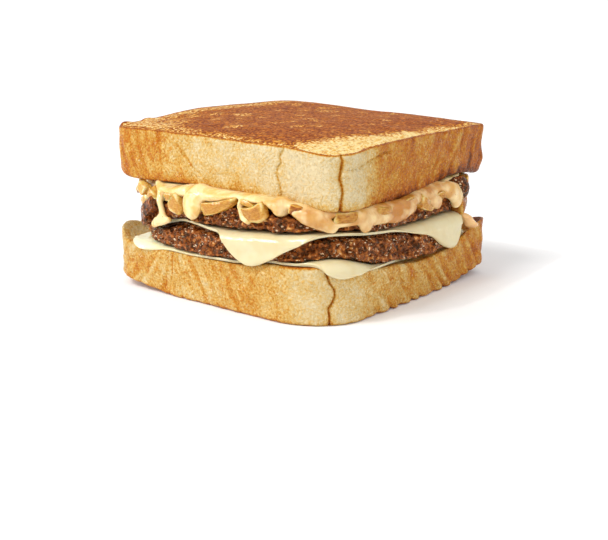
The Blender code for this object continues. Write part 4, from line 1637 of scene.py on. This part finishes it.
@dataclass(frozen=True, eq=False)
class Sauce:
    """The sauce between the onions and the upper slice, in lobes and rounded drips down the side."""

    stack: Stack
    strokes: tuple[Stroke, ...] = (
        Stroke(((-118.5, 44.0, 1.6), (-115.5, 41.4, 1.7), (-114.0, 38.0, 1.5), (-113.0, 35.0, 1.3),
                (-112.5, 32.6, 1.7), (-113.5, 30.8, 2.4)), 1.2),
        Stroke(((-118.8, 27.8, 1.6), (-116.0, 29.4, 2.1), (-112.5, 30.6, 2.2), (-109.5, 31.0, 1.1)), 1.3),
        Stroke(((-115.0, 42.6, 1.6), (-110.5, 41.6, 1.8), (-107.0, 41.9, 2.3), (-102.0, 42.5, 2.8),
                (-95.0, 42.6, 3.0), (-88.0, 42.5, 2.7), (-82.0, 43.0, 2.1), (-76.5, 43.6, 1.2)), 1.5),
        Stroke(((-96.0, 41.5, 4.8), (-96.2, 39.0, 5.0), (-96.6, 37.2, 4.4)), 2.2),
        Stroke(((-76.0, 43.8, 1.1), (-69.0, 43.4, 1.6), (-64.0, 43.4, 1.6), (-59.0, 43.2, 1.8),
                (-53.0, 42.6, 1.4), (-47.0, 41.4, 1.6), (-40.0, 40.8, 1.4), (-33.0, 40.8, 1.2)), 1.4),
        Stroke(((-73.5, 42.0, 0.9), (-72.3, 39.0, 0.8), (-71.6, 36.9, 1.2), (-69.3, 35.9, 1.3)), 1.6),
        Stroke(((-61.5, 43.0, 2.0), (-58.7, 42.4, 3.5), (-58.6, 41.6, 3.1)), 1.9),
        Stroke(((-53.5, 40.9, 1.8), (-50.6, 39.8, 3.0), (-47.6, 38.8, 3.3), (-45.2, 37.2, 2.7),
                (-43.0, 35.8, 2.2)), 1.8),
        Stroke(((-49.0, 40.2, 1.9), (-43.5, 40.2, 1.6), (-38.0, 40.4, 1.0))),
        Stroke(((-42.6, 36.6, 1.0), (-38.5, 36.7, 0.9), (-35.0, 37.1, 1.0)), 1.6),
        Stroke(((-35.2, 39.8, 1.6), (-33.4, 37.9, 2.8), (-32.6, 35.6, 2.8)), 1.9),
        Stroke(((-31.5, 37.6, 2.6), (-26.5, 36.9, 2.2), (-22.0, 36.6, 2.3), (-18.0, 35.9, 2.4),
                (-13.5, 36.6, 2.4), (-8.0, 37.8, 2.2)), 1.7),
        Stroke(((-34.0, 40.6, 1.1), (-26.0, 40.9, 1.0), (-20.0, 40.1, 1.7), (-13.0, 38.9, 2.8),
                (-6.0, 39.3, 2.9), (2.0, 40.6, 2.5), (9.0, 41.4, 2.4), (16.0, 42.1, 2.2)), 1.6),
        Stroke(((2.0, 39.8, 2.0), (7.0, 38.4, 2.9), (11.0, 37.0, 2.9)), 1.6),
        Stroke(((15.5, 41.4, 2.4), (19.0, 40.8, 3.4), (22.0, 39.2, 4.0), (24.0, 37.2, 3.8),
                (23.6, 35.4, 2.8)), 2.2),
    )
    hidden: tuple[int, int, int] = (46, 226, 15)
    bed_reach: float = -2.0 * MM
    bed_wave: float = 0.9 * MM
    bed_lift: float = 1.6 * MM
    bed_crown: float = 2.2 * MM
    bed_thickness: float = 4.4 * MM
    columns: int = 360
    stand_off: float = 0.6 * MM
    spacing: float = 0.8 * MM
    root: float = 3.4 * MM
    lean: float = 0.45
    voxel: float = 0.6 * MM

    def all_strokes(self) -> list[Stroke]:
        """The strokes that show and, by a seeded rule, those on the unseen sides.

        Returns:
            The strokes.
        """
        draw = random.Random(SEED + 2)
        made = list(self.strokes)
        first, last, spacing = self.hidden
        for angle in range(first, last, spacing):
            top = self.stack.rim_height(Level.SLICE_UPPER_BASE, angle) / MM - 1.0
            length = draw.choice((2.0, 4.0, 6.0, 9.0))
            width = draw.uniform(1.6, 3.6)
            lean = draw.uniform(-2.0, 2.0)
            made.append(Stroke(((angle, top, width), (angle + lean, top - 0.6 * length, width * 0.85),
                                (angle + lean, top - length, width)), 1.6))
            made.append(Stroke(((angle, top, 1.2), (angle + 0.5 * spacing, top - 0.3, 1.5),
                                (angle + spacing, top, 1.2)), 1.4))
        return made

    def bead(self, angle: float, height: float, half_width: float, thick: float) -> bpy.types.Object:
        """One bead of a stroke: an egg flat on the side, which reaches in where it is above the patty.

        Args:
            angle: Compass angle.
            height: Height of its middle in mm.
            half_width: Half its width in mm.
            thick: Its thickness in mm.

        Returns:
            The bead.
        """
        z = height * MM
        spot, outward, _ = self.stack.beside(angle, z)
        top = self.stack.rim_height(Level.PATTY_UPPER, round(angle, 2))
        root = self.root * smoothstep(top - 0.5 * MM, top + 2.0 * MM, z)
        half = thick * MM + root
        lean = self.lean * max(z - top, 0.0)
        spot += outward * (self.stand_off + thick * MM * 0.5 - root - lean)
        bpy.ops.mesh.primitive_uv_sphere_add(
            segments=12, ring_count=8, radius=1.0, location=spot,
            scale=(half, half_width * MM, half_width * MM),
            rotation=(0.0, 0.0, math.atan2(outward.y, outward.x)))
        return bpy.context.object

    def beads(self, stroke: Stroke) -> list[bpy.types.Object]:
        """The beads of one stroke.

        Args:
            stroke: The stroke.

        Returns:
            The beads, close enough to melt together.
        """
        made = []
        for start, end in zip(stroke.knots, stroke.knots[1:]):
            span = self.stack.beside(end[0], end[1] * MM)[0] - self.stack.beside(start[0], start[1] * MM)[0]
            count = max(2, math.ceil(span.length / self.spacing) + 1)
            for share in ladder(0.0, 1.0, count):
                knot = [first + (last - first) * share for first, last in zip(start, end)]
                made.append(self.bead(*knot, stroke.thick))
        return made

    def bed_place(self, turn: float, share: float, height: float) -> Vector:
        """Place of a vertex of the layer on the onions, which stops just inside the edge of the patty.

        Args:
            turn: Turn of the vertex round the axis in degrees.
            share: Share of the radius, from 0 at the axis to 1 at the edge.
            height: Height in the section, from -1 at the bottom to 1 at the top.

        Returns:
            The place in the frame.
        """
        angle = round(turn, 2)
        uneven = self.bed_wave * noise.noise(compass(angle) * 7.0)
        flat = compass(angle) * (self.stack.patty_upper(angle) + self.bed_reach + uneven) * share
        low = self.stack.height(Level.PATTY_UPPER, flat.x, flat.y) + self.bed_lift
        low += self.bed_crown * (1.0 - share)
        high = self.stack.height(Level.SLICE_UPPER_BASE, flat.x, flat.y) - self.stack.gap
        high = min(high, low + self.bed_thickness)
        return Vector((flat.x, flat.y, low + (high - low) * (height + 1.0) / 2.0))

    def bed(self) -> bpy.types.Object:
        """The layer of sauce on the onions.

        Returns:
            The layer.
        """
        quarter = math.pi / 2.0
        flat = ladder(0.0, 0.7, 5) + ladder(0.76, 0.96, 8)
        nose = [(0.96 + 0.04 * math.cos(turn), math.sin(turn)) for turn in ladder(-quarter, quarter, 7)]
        profile = [(share, -1.0) for share in flat] + nose[1:-1] + [(share, 1.0) for share in reversed(flat)]
        piece = Bench.spin("sauce_bed", profile, self.columns)
        Bench.place(piece, self.bed_place, lambda turn, share, height, spot: 0.0)
        return piece

    @staticmethod
    def stain_and_shade(spot: Vector) -> float:
        """How much browner the sauce is at a point: the juice of the meat, and painted shade on the
        right-hand side, which faces away from the light.

        Args:
            spot: The point.

        Returns:
            The tint, from about 0 to 1.
        """
        angle = math.degrees(math.atan2(spot.y, spot.x))
        share = smoothstep(-75.0, -45.0, angle) * smoothstep(30.0, 14.0, angle)
        browned = 0.55 + 0.6 * smoothstep(-32.0, -16.0, angle) * smoothstep(16.0, 2.0, angle)
        return share * (browned + 0.7 * noise.noise(spot / (5.0 * MM)))

    def build(self, material: bpy.types.Material) -> None:
        """Make the sauce.

        Args:
            material: Its finish.
        """
        parts = [self.bed()]
        for stroke in self.all_strokes():
            parts.extend(self.beads(stroke))
        Bench.select(parts)
        bpy.ops.object.transform_apply(location=True, rotation=True, scale=True)
        piece = Bench.join(parts, "sauce_layer")
        Bench.apply(piece, "REMESH", mode="VOXEL", voxel_size=self.voxel)
        Bench.apply(piece, "SMOOTH", factor=0.5, iterations=5)
        Bench.face_outwards(piece)
        Bench.note(piece, "tint", [self.stain_and_shade(vertex.co) for vertex in piece.data.vertices])
        Bench.settle(piece, "sauce", "sauce", material)


@dataclass(frozen=True, eq=False)
class SauceDrop:
    """The drop of sauce that lies alone on the curled right corner of the lower slice."""

    top: Vector = Vector((57.4, 31.0, 29.8)) * MM
    foot: Vector = Vector((58.3, 38.0, 22.6)) * MM
    facing: float = -25.0
    width: float = 3.2 * MM
    depth: float = 2.4 * MM
    bulge: float = 0.5 * MM
    waist: float = 0.2

    def build(self, material: bpy.types.Material) -> None:
        """Make the drop.

        Args:
            material: Its finish.
        """
        Bench.clear_selection()
        bpy.ops.mesh.primitive_uv_sphere_add(segments=40, ring_count=36, radius=1.0, location=(0.0, 0.0, 0.0))
        piece = bpy.context.object
        piece.name = "sauce_fallen"
        outward = compass(self.facing)
        across = Vector((-outward.y, outward.x, 0.0))
        for vertex in piece.data.vertices:
            share = (1.0 - vertex.co.z) / 2.0
            waist = 1.0 - self.waist * math.cos((share - 0.5) * 2.0 * math.pi)
            middle = self.top.lerp(self.foot, share) + outward * self.bulge * math.sin(share * math.pi)
            half_width = self.width * waist * (0.75 + 0.5 * share)
            forward = outward * vertex.co.x * self.depth * waist
            vertex.co = middle + forward + across * vertex.co.y * half_width
        Bench.face_outwards(piece)
        Bench.settle(piece, "sauce_drop", "sauce", material)


@dataclass(frozen=True, eq=False)
class Onions:
    """The bed of fried onions on the upper patty and the pieces that stick out at its side."""

    stack: Stack
    chunks: tuple[Chunk, ...] = (
        Chunk(-125.5, 40.4, 3.2, 2.6, -15.0, 0.2, 0.3, 2.2, 0.62),
        Chunk(-123.5, 36.2, 3.4, 2.6, 30.0, 0.3, 0.2, 2.0, 0.58),
        Chunk(-118.2, 39.4, 2.6, 2.4, -30.0, 0.3, 0.0, 1.8, 0.5),
        Chunk(-105.6, 37.2, 3.9, 3.9, -38.0, 0.5, 0.0, 1.8, 0.46),
        Chunk(-109.0, 40.0, 2.6, 1.6, 10.0, 0.2, 0.0, 1.6, 0.5),
        Chunk(-83.8, 39.1, 8.4, 2.7, 18.0, 0.5, 1.0, 1.7, 0.42),
        Chunk(-67.2, 38.6, 5.0, 2.4, 16.0, -0.2, 1.2, 2.0, 0.38),
        Chunk(-70.0, 42.0, 3.2, 1.1, -14.0, 0.3, 0.0, 1.4, 0.5),
        Chunk(-53.2, 41.8, 2.2, 1.9, -10.0, 0.2, 0.0, 1.7, 0.26),
        Chunk(-38.6, 38.8, 4.3, 2.2, 3.0, 0.1, 0.3, 2.0, 0.36),
        Chunk(-24.6, 39.2, 3.9, 2.0, 0.0, 0.3, 0.0, 2.2, 0.4),
        Chunk(3.0, 37.2, 4.9, 2.6, -24.0, 0.3, 0.3, 2.3, 0.42),
        Chunk(-9.0, 40.8, 3.0, 1.0, 10.0, 0.2, 0.0, 1.4, 0.4),
        Chunk(13.0, 39.0, 2.8, 2.0, 20.0, 0.2, 0.0, 1.8, 0.4),
        Chunk(28.2, 33.8, 2.6, 4.0, 20.0, 0.2, 0.0, 2.8, 0.2),
    )
    hidden: tuple[int, int, int] = (44, 226, 12)
    cuts: int = 7
    bed_inset: float = 2.6 * MM
    bed_thickness: float = 1.6 * MM
    bed_crown: float = 1.6 * MM
    columns: int = 240

    def all_chunks(self) -> list[Chunk]:
        """The pieces that show and, by a seeded rule, those on the unseen sides.

        Returns:
            The pieces.
        """
        draw = random.Random(SEED)
        made = list(self.chunks)
        for angle in range(*self.hidden):
            top = self.stack.rim_height(Level.PATTY_UPPER, angle) / MM
            made.append(Chunk(
                angle + draw.uniform(-3.5, 3.5), top + draw.uniform(-3.0, 1.4), draw.uniform(2.6, 6.5),
                draw.uniform(1.5, 2.8), draw.uniform(-38.0, 38.0), draw.uniform(0.0, 0.5),
                draw.uniform(0.0, 1.0), 1.9, draw.uniform(0.28, 0.5)))
        return made

    def piece(self, chunk: Chunk, seed: int) -> bpy.types.Object:
        """One piece of onion, faceted by its cuts, with pale thin edges.

        Args:
            chunk: Its place and size.
            seed: Number that its facets come from.

        Returns:
            The piece.
        """
        piece = Bench.block(self.cuts)
        turn = math.radians(chunk.tilt)
        radius = self.stack.wall(chunk.angle, chunk.height * MM)
        tints = []
        points = []
        for vertex in piece.data.vertices:
            u, v, w = vertex.co.lerp(vertex.co.normalized() * 1.2, 0.42)
            facet = noise.noise_vector(Vector((u, v, w)) * 0.9 + Vector((seed * 3.7, 0.0, 0.0)))
            u, v, w = Vector((u, v, w)) + facet * 0.28
            width = chunk.width * (1.0 - chunk.taper * (u + 1.0) / 2.0)
            level = v * width + chunk.bend * u * u
            side = u * chunk.length * math.cos(turn) - level * math.sin(turn)
            up = u * chunk.length * math.sin(turn) + level * math.cos(turn)
            angle = chunk.angle + math.degrees(side * MM / radius)
            z = (chunk.height + up) * MM
            spot, outward, _ = self.stack.beside(angle, z)
            spot += outward * (w * chunk.thick + 0.15 * chunk.thick) * MM
            points.extend(spot)
            rim = smoothstep(0.72, 1.0, max(abs(v), abs(u)) * (0.65 + 0.35 * w))
            tints.append(chunk.tone + 0.5 * rim)
        piece.data.vertices.foreach_set("co", points)
        Bench.note(piece, "tint", tints)
        Bench.apply(piece, "SUBSURF", levels=1, render_levels=1)
        return piece

    def bed_place(self, turn: float, share: float, height: float) -> Vector:
        """Place of a vertex of the bed under the sauce.

        Args:
            turn: Turn of the vertex round the axis in degrees.
            share: Share of the radius, from 0 at the axis to 1 at the edge.
            height: Height in the section, from -1 at the bottom to 1 at the top.

        Returns:
            The place in the frame.
        """
        angle = round(turn, 2)
        flat = compass(angle) * (self.stack.patty_upper(angle) - self.bed_inset) * share
        low = self.stack.height(Level.PATTY_UPPER, flat.x, flat.y) + self.stack.gap
        thick = self.bed_thickness + self.bed_crown * (1.0 - share)
        return Vector((flat.x, flat.y, low + thick * (height + 1.0) / 2.0))

    def bed(self) -> bpy.types.Object:
        """The bed of onions under the sauce.

        Returns:
            The bed.
        """
        profile = [(share, -1.0) for share in ladder(0.0, 0.97, 7)] + [(1.0, 0.0)]
        profile += [(share, 1.0) for share in ladder(0.97, 0.0, 7)]
        piece = Bench.spin("onion_bed", profile, self.columns)
        Bench.place(piece, self.bed_place, lambda turn, share, height, spot: 0.3)
        return piece

    def build(self, material: bpy.types.Material) -> None:
        """Make the heap of onions.

        Args:
            material: Its finish.
        """
        parts = [self.bed()] + [self.piece(chunk, seed) for seed, chunk in enumerate(self.all_chunks())]
        piece = Bench.join(parts, "onion_heap")
        Bench.face_outwards(piece)
        Bench.settle(piece, "onions", "onion", material)


class LampKind(Enum):
    """Kinds of light."""

    SUN = "SUN"
    AREA = "AREA"


@dataclass(frozen=True)
class Lamp:
    """A light aimed at the sandwich.

    Attributes:
        name: Name of the light.
        kind: Kind of the light.
        azimuth: Direction it stands in, counted as the camera's is, in degrees.
        elevation: How high it stands, in degrees.
        energy: Strength.
        softness: Angle of a sun in degrees, or width of an area light in metres.
        distance: Distance from the sandwich in metres.
    """

    name: str
    kind: LampKind
    azimuth: float
    elevation: float
    energy: float
    softness: float
    distance: float = 1.0


@dataclass(frozen=True)
class Studio:
    """A white table under soft light from the left, and the camera."""

    azimuth: float = 38.9058
    elevation: float = 14.8547
    place: tuple[float, float, float] = (0.24337, -0.30129, 0.10546)
    focal: float = 949.9459
    image_width: int = 608
    sensor: float = 36.0
    near_clip: float = 0.01
    table_size: float = 8.0
    wall_height: float = 2.0
    wall_bend: float = 0.8
    aim_height: float = 0.035
    surroundings: float = 0.7
    lamps: tuple[Lamp, ...] = (
        Lamp("key", LampKind.SUN, -16.0, 56.0, 0.96, 16.0),
        Lamp("spark", LampKind.SUN, -22.0, 50.0, 0.4, 3.0),
        Lamp("fill", LampKind.SUN, 78.0, 40.0, 0.65, 60.0),
        Lamp("window", LampKind.AREA, -40.0, 22.0, 2.0, 0.22, 0.8),
    )

    def camera(self) -> None:
        """Set up the camera of the photograph."""
        bpy.ops.object.camera_add(location=self.place)
        camera = bpy.context.object
        camera.rotation_euler = (math.radians(90.0 - self.elevation), 0.0, math.radians(self.azimuth))
        camera.data.sensor_width = self.sensor
        camera.data.lens = self.focal * self.sensor / self.image_width
        camera.data.clip_start = self.near_clip
        bpy.context.scene.camera = camera

    def light(self, lamp: Lamp) -> None:
        """Add a light aimed at the sandwich.

        Args:
            lamp: The light.
        """
        turn = math.radians(lamp.azimuth)
        rise = math.radians(lamp.elevation)
        way = Vector((math.sin(turn) * math.cos(rise), -math.cos(turn) * math.cos(rise), math.sin(rise)))
        spot = way * lamp.distance + Vector((0.0, 0.0, self.aim_height))
        bpy.ops.object.light_add(type=lamp.kind.value, location=spot)
        light = bpy.context.object
        light.name = lamp.name
        light.rotation_euler = way.to_track_quat("Z", "Y").to_euler()
        light.data.energy = lamp.energy
        if lamp.kind is LampKind.SUN:
            light.data.angle = math.radians(lamp.softness)
        else:
            light.data.size = lamp.softness

    def table(self) -> None:
        """Lay the white table, curved up behind the sandwich."""
        Bench.clear_selection()
        bpy.ops.mesh.primitive_plane_add(size=self.table_size, location=(0.0, 0.0, 0.0),
                                         rotation=(0.0, 0.0, math.radians(self.azimuth)))
        table = bpy.context.object
        table.name = "table"
        bpy.ops.object.transform_apply(location=True, rotation=True, scale=True)
        back = compass(self.azimuth + 90.0)
        bpy.ops.object.mode_set(mode="EDIT")
        bpy.ops.mesh.select_all(action="DESELECT")
        bpy.ops.object.mode_set(mode="OBJECT")
        for edge in table.data.edges:
            edge.select = all(table.data.vertices[index].co.dot(back) > 0.0 for index in edge.vertices)
        bpy.context.tool_settings.mesh_select_mode = (False, True, False)
        bpy.ops.object.mode_set(mode="EDIT")
        bpy.ops.mesh.extrude_region_move(TRANSFORM_OT_translate={"value": (0.0, 0.0, self.wall_height)})
        bpy.ops.mesh.select_all(action="SELECT")
        bpy.ops.mesh.normals_make_consistent(inside=True)
        bpy.ops.object.mode_set(mode="OBJECT")
        Bench.apply(table, "BEVEL", width=self.wall_bend, segments=12, limit_method="ANGLE")
        bpy.ops.object.shade_smooth()
        recipe = Recipe("table_white")
        faint = recipe.spread(recipe.noise(0.5, 1.0), 0.3, 0.7, 0.94, 0.96)
        white = recipe.node("ShaderNodeCombineColor", {0: faint, 1: faint, 2: faint}).outputs[0]
        table.data.materials.append(recipe.finish(Base_Color=white, Roughness=0.9, Specular_IOR_Level=0.1))

    def world(self) -> None:
        """Make the surroundings a soft white."""
        world = bpy.data.worlds.new("studio")
        bpy.context.scene.world = world
        world.use_nodes = True
        background = world.node_tree.nodes["Background"]
        background.inputs["Color"].default_value = (1.0, 1.0, 1.0, 1.0)
        background.inputs["Strength"].default_value = self.surroundings
        bpy.context.scene.view_settings.view_transform = "Standard"

    def build(self) -> None:
        """Set up the whole studio."""
        self.camera()
        self.table()
        self.world()
        for lamp in self.lamps:
            self.light(lamp)


def main() -> None:
    """Build the sandwich from the bottom up, then the studio."""
    logging.basicConfig(level=logging.INFO, format="%(message)s")
    noise.seed_set(NOISE_SEED)
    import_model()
    stack = Stack()
    crust = CrustFinish().material()
    griddled = GriddleFinish().material()
    LowerSlice(stack).build(crust, griddled)
    CheeseSlice(
        stack, "cheese_lower", "cheese_bottom", stack.slice_lower, stack.cheese_bed, Level.PATTY_LOWER_BASE,
        CHEESE_LOWER_HEM,
    ).build(CheeseFinish("cheese_lower").material())
    Patty(
        stack, "beef_lower", "patty_lower", stack.patty_lower, Level.PATTY_LOWER_BASE, Level.PATTY_LOWER,
        seed=3.0, hang=1.3 * MM, bulge=((14, 34, 22, 1.4),),
    ).build(BeefFinish("beef_lower").material())
    CheeseSlice(
        stack, "cheese_upper", "cheese_middle", stack.cheese_middle_edge,
        lambda x, y: stack.height(Level.PATTY_LOWER, x, y), Level.PATTY_UPPER_BASE, CHEESE_UPPER_HEM,
    ).build(CheeseFinish("cheese_upper").material())
    Patty(
        stack, "beef_upper", "patty_upper", stack.patty_upper, Level.PATTY_UPPER_BASE, Level.PATTY_UPPER,
        seed=9.0, lumps=UPPER_LUMPS, hang=0.9 * MM,
    ).build(BeefFinish("beef_upper").material())
    Onions(stack).build(OnionFinish().material())
    Sauce(stack).build(SauceFinish("sauce").material())
    SauceDrop().build(SauceFinish("sauce_drop", (238, 192, 130), (222, 164, 100)).material())
    UpperSlice(stack).build(crust, griddled)
    Studio().build()


if __name__ == "__main__":
    main()
